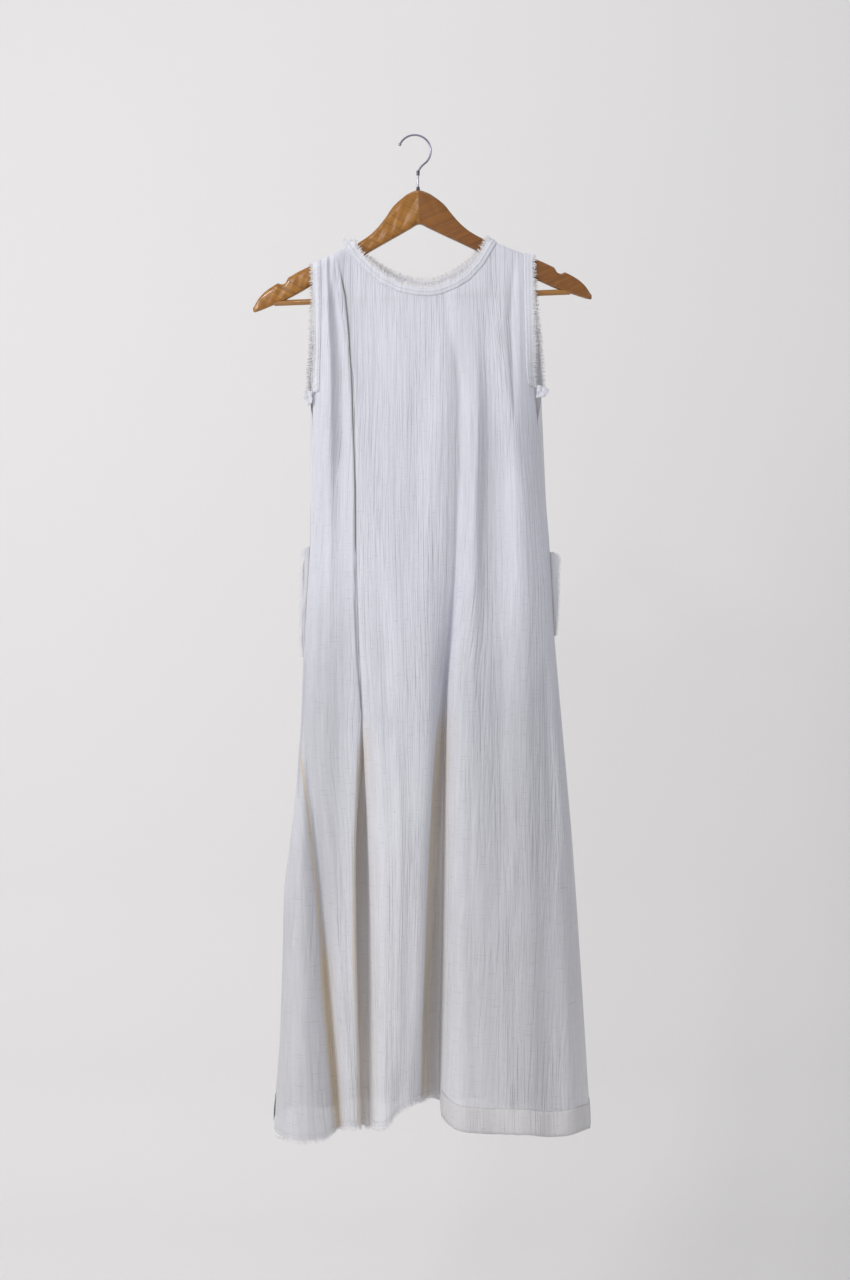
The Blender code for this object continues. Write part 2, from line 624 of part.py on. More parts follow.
def trouser_bar(frame):
    shape = bmesh.new()
    bmesh.ops.create_cone(shape, cap_ends=True, segments=14, radius1=BAR_RADIUS, radius2=BAR_RADIUS,
                          depth=2 * BAR_HALF)
    bmesh.ops.transform(shape, matrix=Matrix.Rotation(math.pi / 2, 4, "Y"), verts=shape.verts)
    mesh = bpy.data.meshes.new("trouser_bar")
    shape.to_mesh(mesh)
    shape.free()
    mesh.shade_smooth()
    mesh.set_sharp_from_angle(angle=math.radians(50))
    bar = place("trouser_bar", mesh, WOOD_LIGHT, 0.4, parent=frame)
    bar.location = (0, 0, -BAR_DROP)
    return bar


def hook_route():
    """Round over the rail, back under, then straight down into the wood."""
    radius = HOOK_RADIUS + WIRE
    centre = Vector((0, 0, -HOOK_RADIUS))
    points = []
    for degrees in range(160, -41, -10):
        angle = math.radians(degrees)
        points.append(centre + radius * Vector((math.cos(angle), 0, math.sin(angle))))
    # The neck of the hook bends from the round part to the stem
    leave = points[-1]
    stem_top = Vector((STEM_X, 0, -0.052))
    pull = 0.016
    steps = 8
    for i in range(1, steps + 1):
        s = i / steps
        a = leave + Vector((-0.643, 0, -0.766)) * pull * s
        b = stem_top + Vector((0, 0, 1)) * pull * (1 - s)
        blend = s * s * (3 - 2 * s)
        points.append(a.lerp(b, blend))
    points.append(Vector((STEM_X, 0, WOOD_TOP + FERRULE_HEIGHT + 2 * SEAM)))
    return points


def hook():
    curve = bpy.data.curves.new("hook", "CURVE")
    curve.dimensions = "3D"
    curve.bevel_depth = WIRE
    curve.bevel_resolution = 2
    curve.use_fill_caps = True
    route = hook_route()
    spline = curve.splines.new("POLY")
    spline.points.add(len(route) - 1)
    for point, at in zip(spline.points, route):
        point.co = (*at, 1)
    return place("hook", curve, STEEL, 0.2, 1.0)


def hook_fittings():
    route = hook_route()
    start = route[0]
    back_along = (start - route[1]).normalized()
    shape = bmesh.new()
    bmesh.ops.create_uvsphere(shape, u_segments=10, v_segments=8, radius=TIP_RADIUS)
    mesh = bpy.data.meshes.new("hook_tip")
    shape.to_mesh(mesh)
    shape.free()
    mesh.shade_smooth()
    tip = place("hook_tip", mesh, STEEL, 0.2, 1.0)
    tip.location = start + back_along * (TIP_RADIUS + SEAM)
    shape = bmesh.new()
    bmesh.ops.create_cone(shape, cap_ends=True, segments=14, radius1=FERRULE_RADIUS, radius2=FERRULE_RADIUS * 0.8,
                          depth=FERRULE_HEIGHT)
    mesh = bpy.data.meshes.new("hook_ferrule")
    shape.to_mesh(mesh)
    shape.free()
    mesh.shade_smooth()
    mesh.set_sharp_from_angle(angle=math.radians(50))
    ferrule = place("hook_ferrule", mesh, STEEL, 0.35, 1.0)
    ferrule.location = (STEM_X, 0, WOOD_TOP + SEAM + FERRULE_HEIGHT / 2)


def main():
    start_scene()
    panel_piece("front_panel", front)
    panel_piece("back_panel", back)
    neck_band("neck_band_front", front)
    neck_band("neck_band_back", back)
    hem_band("hem_band_front", front, [t for t in front.columns if t > 18])
    hem_band("hem_band_back", back, back.columns)
    neck_fringe("fringe_neck_front", front)
    neck_fringe("fringe_neck_back", back)
    hem_fringe("fringe_hem_front", front, 17)
    for side, rows in (("left", POCKET_LEFT), ("right", POCKET_RIGHT)):
        armhole_band(side)
        armhole_fringe(side)
        pocket_facing(side, rows)
        pocket_fringe(side, rows)
    for (side, depth), corners in zip(TAB_DEPTH, (TAB_LEFT, TAB_RIGHT)):
        underarm_tab(side, corners, depth)
    frame = hanger_frame()
    hanger_arm("left", frame)
    hanger_arm("right", frame)
    trouser_bar(frame)
    hook()
    hook_fittings()


main()
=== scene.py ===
# Sleeveless crinkled cotton dress on a wooden hanger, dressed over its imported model
import math
import random

import bmesh
import bpy
import numpy as np
from mathutils import Matrix, Vector, noise


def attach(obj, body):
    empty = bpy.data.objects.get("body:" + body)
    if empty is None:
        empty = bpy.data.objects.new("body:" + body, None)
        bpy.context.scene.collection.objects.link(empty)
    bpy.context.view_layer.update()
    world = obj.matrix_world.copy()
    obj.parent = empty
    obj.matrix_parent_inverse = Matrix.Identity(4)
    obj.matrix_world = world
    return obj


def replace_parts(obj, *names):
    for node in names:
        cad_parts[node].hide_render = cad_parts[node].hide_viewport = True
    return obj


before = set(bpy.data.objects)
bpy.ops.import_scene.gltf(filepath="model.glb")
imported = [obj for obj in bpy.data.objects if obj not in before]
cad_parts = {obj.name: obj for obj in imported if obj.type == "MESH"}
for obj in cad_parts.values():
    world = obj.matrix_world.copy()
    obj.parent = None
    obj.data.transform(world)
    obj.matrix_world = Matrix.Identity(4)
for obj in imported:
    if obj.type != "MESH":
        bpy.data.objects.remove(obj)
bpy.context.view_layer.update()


# Camera and light

studio = {
    "eye": (0.0136, -2.2, -0.6673),
    "fieldHeight": 1.6947,      # metres seen from top to bottom at the hanger
    "floorHeight": -1.86,
    "wallBehind": 1.25,
    "wallColour": (0.845, 0.834, 0.834),
    # name, place, aim, size, watts, colour
    "lamps": (
        ("large soft box left", (-2.1, -1.9, 0.45), (0.0, 0.0, -0.70), 1.3, 47.0, (1.0, 0.985, 0.965)),
        ("small front light", (-0.75, -2.1, 0.62), (0.0, 0.0, -0.10), 0.20, 5.0, (1.0, 0.99, 0.97)),
        ("soft box right", (2.3, -1.7, 0.1), (0.0, 0.0, -0.75), 1.6, 5.0, (0.97, 0.98, 1.0)),
        ("top light", (0.1, -0.3, 1.7), (0.0, 0.1, -0.6), 1.4, 6.0, (1.0, 1.0, 1.0)),
    ),
    "roomLight": 0.50, "roomColour": (0.98, 0.985, 1.0, 1), "sensor": 24,
}


def aimAt(thing, target):
    thing.rotation_euler = (Vector(target) - thing.location).to_track_quat("-Z", "Y").to_euler()


def linked(name, data):
    thing = bpy.data.objects.new(name, data)
    bpy.context.scene.collection.objects.link(thing)
    return thing


def meshOf(name, made):
    mesh = bpy.data.meshes.new(name)
    made.to_mesh(mesh)
    made.free()
    return mesh


def placed(name, data, material):
    # An object that hangs on the part's one body
    piece = linked(name, data)
    data.materials.append(material)
    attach(piece, "root")
    return piece


def setUpStudio():
    camera = linked("camera", bpy.data.cameras.new("camera"))
    camera.location = studio["eye"]
    camera.rotation_euler = (math.radians(90), 0, 0)
    camera.data.sensor_fit, camera.data.sensor_height = "VERTICAL", studio["sensor"]
    camera.data.lens = studio["sensor"] * -studio["eye"][1] / studio["fieldHeight"]
    bpy.context.scene.camera = camera
    bpy.context.scene.view_settings.view_transform = "Standard"
    for name, place, target, size, watts, colour in studio["lamps"]:
        lamp = linked(name, bpy.data.lights.new(name, "AREA"))
        lamp.data.size, lamp.data.energy, lamp.data.color = size, watts, colour
        lamp.location = place
        aimAt(lamp, target)
    world = bpy.data.worlds.new("room")
    world.use_nodes = True
    feed(world.node_tree, world.node_tree.nodes["Background"],
         {"Color": studio["roomColour"], "Strength": studio["roomLight"]})
    bpy.context.scene.world = world
    # Floor and wall in one sweep
    sweep = bmesh.new()
    low, back = studio["floorHeight"], studio["wallBehind"]
    profile = [(-6.0, low), (back - 0.7, low), (back - 0.32, low + 0.08), (back - 0.08, low + 0.32),
               (back, low + 0.7), (back, 3.5)]
    edges = [sweep.verts.new((-5, y, z)) for y, z in profile]
    moved = bmesh.ops.extrude_edge_only(sweep, edges=[sweep.edges.new(pair) for pair in zip(edges, edges[1:])])
    bmesh.ops.translate(sweep, vec=(10, 0, 0), verts=[v for v in moved["geom"] if isinstance(v, bmesh.types.BMVert)])
    bmesh.ops.recalc_face_normals(sweep, faces=sweep.faces)
    wall = max(sweep.faces, key=lambda face: face.calc_center_median().z)
    if wall.normal.y > 0:
        bmesh.ops.reverse_faces(sweep, faces=sweep.faces)
    mesh = meshOf("floor", sweep)
    mesh.shade_smooth()
    floor = linked("floor", mesh)
    paint, tree, shader = emptyMaterial("pale wall")
    feed(tree, shader, {"Base Color": (*studio["wallColour"], 1), "Roughness": 0.95})
    # The wall has paint on its front alone, so the dress shows from behind too
    side, clear = node(tree, "ShaderNodeNewGeometry"), node(tree, "ShaderNodeBsdfTransparent")
    both = node(tree, "ShaderNodeMixShader", {0: side.outputs["Backfacing"], 1: shader.outputs[0],
                                              2: clear.outputs[0]})
    feed(tree, tree.nodes["Material Output"], {"Surface": both.outputs[0]})
    mesh.materials.append(paint)
    print("studio ready")


# Shader groups: each gives only colours and values that change over the surface

def newGroup(name, ins, outs):
    group = bpy.data.node_groups.new(name, "ShaderNodeTree")
    for label, kind, value in ins:
        socket = group.interface.new_socket(name=label, in_out="INPUT", socket_type="NodeSocket" + kind)
        if value is not None:
            socket.default_value = value
    for label, kind in outs:
        group.interface.new_socket(name=label, in_out="OUTPUT", socket_type="NodeSocket" + kind)
    return group, group.nodes.new("NodeGroupInput"), group.nodes.new("NodeGroupOutput")


def feed(tree, target, inputs):
    # Links where the value is a socket, plain settings otherwise
    for key, value in inputs.items():
        if isinstance(value, bpy.types.NodeSocket):
            tree.links.new(value, target.inputs[key])
        else:
            target.inputs[key].default_value = value


def node(tree, kind, inputs=None, **settings):
    made = tree.nodes.new(kind)
    for key, value in settings.items():
        setattr(made, key, value)
    feed(tree, made, inputs or {})
    return made


def maths(tree, operation, a, b=None, c=None):
    values = {i: v for i, v in enumerate((a, b, c)) if v is not None}
    return node(tree, "ShaderNodeMath", values, operation=operation).outputs[0]


def mixed(tree, share, first, second):
    return node(tree, "ShaderNodeMix", {0: share, 6: first, 7: second}, data_type="RGBA").outputs[2]


def mapped(tree, value, low, high, first, last, **settings):
    return node(tree, "ShaderNodeMapRange", {0: value, 1: low, 2: high, 3: first, 4: last}, **settings).outputs[0]


def noiseOf(tree, vector, scale, detail, rough=0.5, output=0):
    stretched = node(tree, "ShaderNodeMapping", {"Vector": vector, "Scale": scale}).outputs[0]
    return node(tree, "ShaderNodeTexNoise", {"Vector": stretched, "Scale": 1.0, "Detail": detail,
                                             "Roughness": rough}).outputs[output]


def wandering(tree, vector, scale, detail, reach):
    # The vector pushed about by a noise, so that lines drawn with it aren't straight
    wander = noiseOf(tree, vector, scale, detail, output="Color")
    push = node(tree, "ShaderNodeVectorMath", {0: wander, "Scale": reach}, operation="SCALE").outputs[0]
    return node(tree, "ShaderNodeVectorMath", {0: vector, 1: push}).outputs[0]


# crease is a darker painted shade where the painted shade is strongest, as along the tuck; glow is the tan of painted
# light shining through
tones = {"warmth": (1.0, 0.985, 0.925), "crease": (0.150, 0.130, 0.120, 1), "glow": (0.62, 0.50, 0.335, 1),
         "pore": (0.10, 0.045, 0.015, 1)}


def makeGauzeGroup():
    # Crinkled gauze: long upright crinkles, slub yarns both ways, and the open weave between them
    group, gin, gout = newGroup(
        "crinkled gauze",
        (("Weave", "Vector", None), ("Cloth", "Color", (0.7, 0.7, 0.75, 1)), ("ShadeTone", "Color", (0.4, 0.36, 0.32, 1)),
         ("Shade", "Float", 0.0), ("Glow", "Float", 0.0), ("Crinkle", "Float", 1.0), ("Sheer", "Float", 0.1)),
        (("Color", "Color"), ("Height", "Float"), ("Roughness", "Float"), ("Alpha", "Float")))
    weave, cloth, shade = (gin.outputs[label] for label in ("Weave", "Cloth", "Shade"))

    def times(a, b):
        return maths(group, "MULTIPLY", a, b)

    def plus(a, share, base):
        return maths(group, "MULTIPLY_ADD", a, share, base)

    def furrows(scale, width):   # -1 along the lines where the noise passes its middle
        away = maths(group, "ABSOLUTE", maths(group, "SUBTRACT", noiseOf(group, bent, scale, 1.6), 0.5))
        return mapped(group, away, 0.0, width, -1.0, 0.0)

    bent = wandering(group, weave, (30, 5, 1), 1.0, 0.0012)
    coarse, fine = furrows((150, 5.5, 1), 0.11), furrows((330, 13, 1), 0.12)
    yarn = noiseOf(group, bent, (820, 40, 1), 1.0)
    thick = mapped(group, noiseOf(group, weave, (560, 12, 1), 1.0), 0.62, 0.80, 0.0, 1.0)
    streak = mapped(group, noiseOf(group, bent, (74, 520, 1), 1.0), 0.60, 0.74, 0.0, 1.0)
    strength = mapped(group, noiseOf(group, weave, (17, 5, 1), 2.0), 0.36, 0.64, 0.40, 1.3)
    crinkle = times(plus(coarse, 0.62, times(fine, 0.34)), times(strength, gin.outputs["Crinkle"]))
    height = plus(yarn, 0.12, plus(streak, 0.10, plus(thick, 0.16, crinkle)))
    # Furrows of the crinkle get a little painted shade, thick yarns are a little whiter
    down = node(group, "ShaderNodeSeparateXYZ", {0: weave}).outputs[1]
    tone = plus(streak, mapped(group, down, 0.15, 0.60, -0.03, -0.11), plus(thick, 0.05, plus(crinkle, 0.05, 1.01)))
    tone = times(tone, mapped(group, noiseOf(group, weave, (26, 3.2, 1), 3.0), 0.3, 0.7, 0.955, 1.04))
    # Lower down the cotton is a touch warmer
    lower = mapped(group, down, 0.55, 1.15, 0.0, 0.75, interpolation_type="SMOOTHSTEP")
    warm = node(group, "ShaderNodeVectorMath", {0: cloth, 1: tones["warmth"]}, operation="MULTIPLY").outputs[0]
    # Painted shade: the shade attribute mixes in the darker tone, and the crease colour where it is strongest. Painted
    # light: the glow attribute mixes in the tan of light shining through
    body = mixed(group, shade, mixed(group, lower, cloth, warm), gin.outputs["ShadeTone"])
    body = mixed(group, mapped(group, shade, 0.55, 0.92, 0.0, 0.85), body, tones["crease"])
    body = mixed(group, gin.outputs["Glow"], body, tones["glow"])
    coloured = node(group, "ShaderNodeVectorMath", {0: body, "Scale": tone}, operation="SCALE").outputs[0]
    # Light passes between the yarns, less where a furrow or a slub closes them
    closed = maths(group, "MAXIMUM", times(coarse, -0.7), thick)
    gaps = times(maths(group, "SUBTRACT", 1.0, closed), gin.outputs["Sheer"])
    feed(group, gout, {"Color": coloured, "Height": height, "Roughness": mapped(group, thick, 0.0, 1.0, 0.93, 0.82),
                       "Alpha": maths(group, "SUBTRACT", 1.0, gaps)})
    return group


def makeGrainGroup():
    # Wood grain along the length: long streaks, pores and a slow ripple that the lacquer shows
    group, gin, gout = newGroup(
        "wood grain",
        (("Along", "Vector", None), ("Light", "Color", (0.5, 0.25, 0.08, 1)), ("Dark", "Color", (0.25, 0.1, 0.03, 1)),
         ("Ripple", "Float", 0.5)),
        (("Color", "Color"), ("Height", "Float"), ("Roughness", "Float")))
    along = gin.outputs["Along"]
    bent = wandering(group, along, (9, 40, 40), 2.0, 0.006)
    streak = noiseOf(group, bent, (7, 620, 620), 3.0, 0.6)
    bands = noiseOf(group, bent, (4, 210, 210), 2.0)
    pores = noiseOf(group, bent, (90, 1500, 1500), 1.0)
    waves = noiseOf(group, along, (75, 22, 22), 1.0)
    mix = maths(group, "MULTIPLY_ADD", streak, 0.6, maths(group, "MULTIPLY", bands, 0.4))
    colour = mixed(group, mapped(group, mix, 0.30, 0.70, 0.0, 1.0), gin.outputs["Light"], gin.outputs["Dark"])
    colour = mixed(group, mapped(group, pores, 0.34, 0.26, 0.0, 0.5), colour, tones["pore"])
    height = maths(group, "MULTIPLY_ADD", waves, gin.outputs["Ripple"], maths(group, "MULTIPLY", streak, 0.06))
    feed(group, gout, {"Color": colour, "Height": height, "Roughness": mapped(group, streak, 0.3, 0.7, 0.24, 0.36)})
    return group


# Finishes

finishes = {
    # The darker tone of each cotton is the painted shade that the shade attribute mixes in
    "cotton": {"cloth": (0.700, 0.710, 0.790), "shadeTone": (0.355, 0.355, 0.385), "bump": 0.00078, "sheer": 0.14},
    # The back is the front's cotton painted lighter: painted light on its inner face, which lies in shade
    "backCottonPaintedLight": {"cloth": (0.760, 0.765, 0.815), "shadeTone": (0.40, 0.35, 0.305), "bump": 0.00078, "sheer": 0.15},
    "band": {"cloth": (0.705, 0.715, 0.785), "shadeTone": (0.40, 0.35, 0.30), "bump": 0.0007, "sheer": 0.04},
    "thread": {"cloth": (0.86, 0.85, 0.87), "rough": 0.9},
    "stitch": {"cloth": (0.56, 0.56, 0.59), "rough": 0.8},
    # One wood in two copies for the arms: the left copy carries painted light, the right copy painted shade
    "woodLeftPaintedLight": {"light": (0.44, 0.190, 0.022), "dark": (0.20, 0.074, 0.008), "turn": -26, "ripple": 2.6},
    "woodRightPaintedShade": {"light": (0.30, 0.112, 0.012), "dark": (0.13, 0.043, 0.006), "turn": 24, "ripple": 0.7},
    "woodBar": {"light": (0.40, 0.190, 0.045), "dark": (0.27, 0.115, 0.024), "turn": -2.2, "ripple": 0.1},
    "steel": {"colour": (0.31, 0.295, 0.38), "rough": 0.27},
    "ferrule": {"colour": (0.10, 0.095, 0.11), "rough": 0.38},
}


def emptyMaterial(name):
    made = bpy.data.materials.new(name)
    made.use_nodes = True
    tree = made.node_tree
    return made, tree, tree.nodes["Principled BSDF"]


def attribute(tree, name, output="Fac"):
    return node(tree, "ShaderNodeAttribute", attribute_name=name).outputs[output]


def placeOn(tree):
    return node(tree, "ShaderNodeTexCoord").outputs["Object"]


def wear(tree, shader, look, strength, distance):
    # The look's colour and roughness, and its height as bump
    bump = node(tree, "ShaderNodeBump", {"Height": look.outputs["Height"], "Strength": strength,
                                         "Distance": distance}).outputs["Normal"]
    feed(tree, shader, {"Base Color": look.outputs["Color"], "Roughness": look.outputs["Roughness"], "Normal": bump})


def gauzeMaterial(name, settings, gauze, crinkle=1.0):
    made, tree, shader = emptyMaterial(name)
    cloth = node(tree, "ShaderNodeGroup", {
        "Weave": attribute(tree, "weave", "Vector"), "Shade": attribute(tree, "shade"),
        "Glow": attribute(tree, "glow"), "Cloth": (*settings["cloth"], 1), "ShadeTone": (*settings["shadeTone"], 1),
        "Crinkle": crinkle, "Sheer": settings["sheer"]}, node_tree=gauze)
    wear(tree, shader, cloth, 1.0, settings["bump"])
    feed(tree, shader, {"Alpha": cloth.outputs["Alpha"], "Sheen Weight": 0.10, "Specular IOR Level": 0.25})
    return made


def threadMaterial(name, settings):
    made, tree, shader = emptyMaterial(name)
    tufts = node(tree, "ShaderNodeTexNoise", {"Vector": placeOn(tree), "Scale": 260.0, "Detail": 1.0}).outputs[0]
    low, high = (tuple(c * k for c in settings["cloth"]) + (1,) for k in (0.86, 1.08))
    feed(tree, shader, {"Base Color": mixed(tree, tufts, low, high), "Roughness": settings["rough"],
                        "Specular IOR Level": 0.2})
    return made


def woodMaterial(name, settings, grain):
    made, tree, shader = emptyMaterial(name)
    turn = (0, math.radians(settings["turn"]), 0)
    turned = node(tree, "ShaderNodeMapping", {"Vector": placeOn(tree), "Rotation": turn}).outputs[0]
    wood = node(tree, "ShaderNodeGroup", {
        "Along": turned, "Light": (*settings["light"], 1), "Dark": (*settings["dark"], 1),
        "Ripple": settings["ripple"]}, node_tree=grain)
    wear(tree, shader, wood, 0.9, 0.002)
    feed(tree, shader, {"Coat Weight": 0.4, "Coat Roughness": 0.1})
    return made


def steelMaterial(name, settings):
    made, tree, shader = emptyMaterial(name)
    smear = node(tree, "ShaderNodeTexNoise", {"Vector": placeOn(tree), "Scale": 180.0, "Detail": 2.0}).outputs[0]
    rough = mapped(tree, smear, 0.3, 0.7, settings["rough"] - 0.05, settings["rough"] + 0.1)
    feed(tree, shader, {"Roughness": rough, "Base Color": (*settings["colour"], 1), "Metallic": 1.0})
    return made


# The cut and the folds, as in the part's source, in millimetres. Heights are below the hook's top.

def metres(table):
    if isinstance(table, tuple):
        return tuple(metres(row) for row in table)
    return round(table / 1000, 7)


foldLevels = metres((164, 350, 561, 747, 959, 1305))   # shoulder, underarm, waist, hip, knee, hem

frontCut = {
    # fold lines beside the neck, column in the side edges, fold lines round the middle
    "outward": -1, "neckLines": (13, 21), "edgeColumn": 1, "middleLines": (13.2, 16.5),
    # fold lines where the deep hem begins, the raw one ends, and its looks fade
    "deepHemFrom": 17.95, "rawHemTo": 17.4, "rawFade": (-17.6, -16.4),
    "neck": metres(((-90, -147), (-80, -163), (-63, -181), (-46, -195), (-22, -207), (2, -212), (20, -213),
                    (36, -210), (55, -202), (72, -191), (89, -172), (107, -141.4))),
    # place across and depth of each fold line at the six levels, then the hem's height there
    "lines": metres((
        ((-134, -134, -143, -149, -166, -190.5), (-8.5, -3, -0.5, -0.5, -0.5, -0.5), -1306),  # side seam
        ((-130, -131, -137.5, -148, -160, -173.5), (-9, -6, -6, -4, -28, -38), -1305),  # side crown
        ((-128, -128, -137, -146, -146, -140), (-9.5, -10, -10, -8, -42, -56), -1304),  # side ridge
        ((-125, -123, -134, -144, -131, -110), (-9.5, -12, -13, -12, -34, -46), -1300),  # side edge
        ((-122, -119, -130, -142, -126.5, -101), (-9.5, -14, -16, -17, -28, -24), -1296),  # side recess
        ((-119, -115, -124, -137, -119, -88), (-10, -16, -20, -21, -34, -38), -1292),  # second panel
        ((-116, -110, -113, -121, -108, -82), (-11, -18, -25, -30, -42, -45), -1290),  # second ridge
        ((-112, -101, -100, -97, -93, -77), (-8.5, -13, -25, -34, -42, -47), -1290),  # soft valley
        ((-107, -81, -78, -72, -78, -71), (-9, -18, -28, -36, -44, -45), -1290),  # tuck, outer layer ends
        ((-96, -69, -66, -62, -76, -68), (-8.5, -17.5, -27.5, -33.5, -14, -26), -1292),  # tuck, turn below
        ((-96, -69, -66, -60, -69, -61), (-10.5, -20, -30.2, -36.5, -12, -26), -1293),  # tuck, turn above
        ((-104, -77, -74, -68, -62, -55), (-10.8, -20.5, -30.5, -38.8, -22, -34), -1293),  # tuck, crease below
        ((-105, -78, -75, -68, -58, -51), (-13, -22.9, -33.3, -42.5, -36, -43), -1292),  # tuck, crease above
        ((-90, -66, -62, -51, -38, -39), (-10, -24, -36.5, -50, -56, -54), -1288),  # centre crown
        ((-59, -30, -23, -16, -12, -19), (-12, -25, -40, -53, -58, -48), -1270),  # centre panel
        ((-19, 12, 18, 20, 13, 2), (-12.5, -25, -39, -50, -55, -36), -1262),  # centre slope
        ((20, 52, 49, 34, 22.5, 12.5), (-12.5, -23, -33, -33, -30, -2), -1266),  # main fold, near wall
        ((33, 60, 54, 42, 35, 30), (-12.5, -21, -30, -23, -16, 12), -1268),  # main fold, bottom
        ((47, 67, 61, 44, 42, 35), (-12.5, -24, -36, -42, -40, -24), -1288),  # main fold, crease
        ((62, 82, 77, 61, 61, 57), (-12, -26, -42, -56, -62, -64), -1298),  # right ridge
        ((81, 95, 94, 100, 105, 107), (-11.5, -22, -37, -52, -60, -66), -1302),  # right valley
        ((107, 129, 137, 140, 142, 144), (-9.5, -25, -42, -56, -64, -72), -1301),  # right crown
        ((130, 142, 157, 171, 175, 173), (-9.5, -18, -31, -44, -54, -62), -1307),  # outer valley
        ((144, 151, 170, 185, 198, 208), (-9, -12, -20, -30, -40, -50), -1306),  # outer crown
        ((155, 157, 178, 192, 210, 232), (-8.5, -4, -0.5, -0.5, -0.5, -0.5), -1313),  # other side seam
    )),
}

backCut = {
    "outward": 1, "neckLines": (3, 10), "edgeColumn": 3, "middleLines": (4, 8), "deepHemFrom": 0,
    "neck": metres(((-90, -147), (-75, -163), (-50, -180), (-25, -192), (0, -199), (14, -200), (30, -198),
                    (55, -188), (80, -171), (107, -141.4))),
    "lines": metres((
        ((-134, -134, -143, -149, -166, -187), (8.5, 0, 0.5, 0.5, 0.5, 0.5), -1306),  # side seam
        ((-131, -138, -138.5, -149, -166, -187), (9, 8, 6, 7, 20, 30), -1306),  # side crown
        ((-115, -122, -128, -132, -146, -158), (10, 18, 27, 36, 56, 80), -1305),  # ridge
        ((-90, -103, -108, -110, -116, -122), (9.5, 15, 21, 28, 40, 55), -1303),  # valley
        ((-72, -83, -84, -83, -82, -80), (11, 19, 31, 44, 68, 100), -1302),  # ridge
        ((-50, -50, -50, -48, -42, -36), (11, 16, 26, 35, 50, 74), -1300),  # valley
        ((-18, -16, -14, -10, -4, 4), (12, 20, 33, 47, 72, 104), -1300),  # ridge
        ((20, 18, 20, 24, 32, 44), (11, 17, 27, 37, 55, 82), -1300),  # valley
        ((54, 52, 56, 62, 70, 82), (12, 20, 33, 47, 71, 103), -1301),  # ridge
        ((86, 84, 88, 95, 104, 118), (10.5, 16, 25, 33, 47, 66), -1303),  # valley
        ((107, 112, 120, 130, 142, 158), (9.5, 19, 30, 41, 60, 88), -1306),  # ridge
        ((128, 136, 146, 156, 170, 188), (9.5, 15, 22, 28, 38, 52), -1309),  # valley
        ((153, 168, 177, 192, 210, 232), (9, 8, 6, 7, 20, 32), -1312),  # side crown
        ((155, 157, 178, 192, 210, 232), (8.5, 0, 0.5, 0.5, 0.5, 0.5), -1313),  # side seam
    )),
}


def sideEdge(armhole, seam):
    # Rows of height, front across and depth, back across and depth. Below the armhole the panels meet
    return metres(armhole + tuple((z, x, -0.5, x, 0.5) for z, x in seam))


leftEdge = sideEdge((
    (-168, -134, -8.5, -134, 8.5), (-225, -133, -8.5, -134.5, 8), (-276, -132.5, -7.5, -136, 7),
    (-312, -133.5, -6, -138.5, 6), (-346, -134, -4.5, -139.5, 4.5), (-372, -135, -3.5, -135.5, -1.5),
    (-415, -137, -2.5, -137, -1.5),
), ((-536, -138), (-698, -148), (-798, -151), (-886, -158), (-995, -173), (-1082, -175), (-1193, -178),
    (-1316, -187)))
rightEdge = sideEdge((
    (-158, 155, -8.5, 155, 8.5), (-225, 156, -8.5, 160, 8), (-276, 157, -7.5, 165, 7),
    (-312, 156, -6, 168, 6), (-339, 158, -4.5, 169, 4.5), (-379, 162, -3.5, 162.5, -2), (-429, 168, -2, 168, -1),
), ((-536, 178), (-667, 185), (-773, 194), (-911, 206), (-1082, 218), (-1290, 231), (-1316, 232)))
shoulderLine = metres((
    (-140, -172.2), (-134, -169.4), (-126, -165.7), (-105, -155.6),
    (-90, -147), (-76, -140), (-50, -121), (-30, -100),
    (4.4, -70), (40, -96), (65, -118), (90, -133.5),
    (107, -141.4), (133.5, -152.2), (148, -157), (160, -158.5),
))
turnHeight, turnDepth = 0.010, 0.008      # the shoulders' turn over the hanger's arms


def easedAt(places, values, at):
    # Smooth reading of a table that never overshoots its rows
    places, values = np.array(places), np.array(values)
    rise = np.diff(values) / np.diff(places)
    slope = np.zeros_like(values)
    same = rise[:-1] * rise[1:] > 0
    slope[1:-1][same] = 2 * (rise[:-1] * rise[1:])[same] / (rise[:-1] + rise[1:])[same]
    slope[-1] = rise[-1]
    at = np.clip(at, places[0], places[-1])
    i = np.clip(np.searchsorted(places, at, side="right") - 1, 0, len(places) - 2)
    span = places[i + 1] - places[i]
    s = (at - places[i]) / span
    return ((2 * s**3 - 3 * s**2 + 1) * values[i] + (s**3 - 2 * s**2 + s) * slope[i] * span
            + (3 * s**2 - 2 * s**3) * values[i + 1] + (s**3 - s**2) * slope[i + 1] * span)


def foldLine(cut, k, z):
    # Place across and depth of fold line k at the heights z
    if k in (0, len(cut["lines"]) - 1):
        rows = np.array(leftEdge if k == 0 else rightEdge)
        return np.array([np.interp(-z, -rows[:, 0], rows[:, cut["edgeColumn"] + i]) for i in (0, 1)])
    return np.array([easedAt(foldLevels, cut["lines"][k][i], -z) for i in (0, 1)])


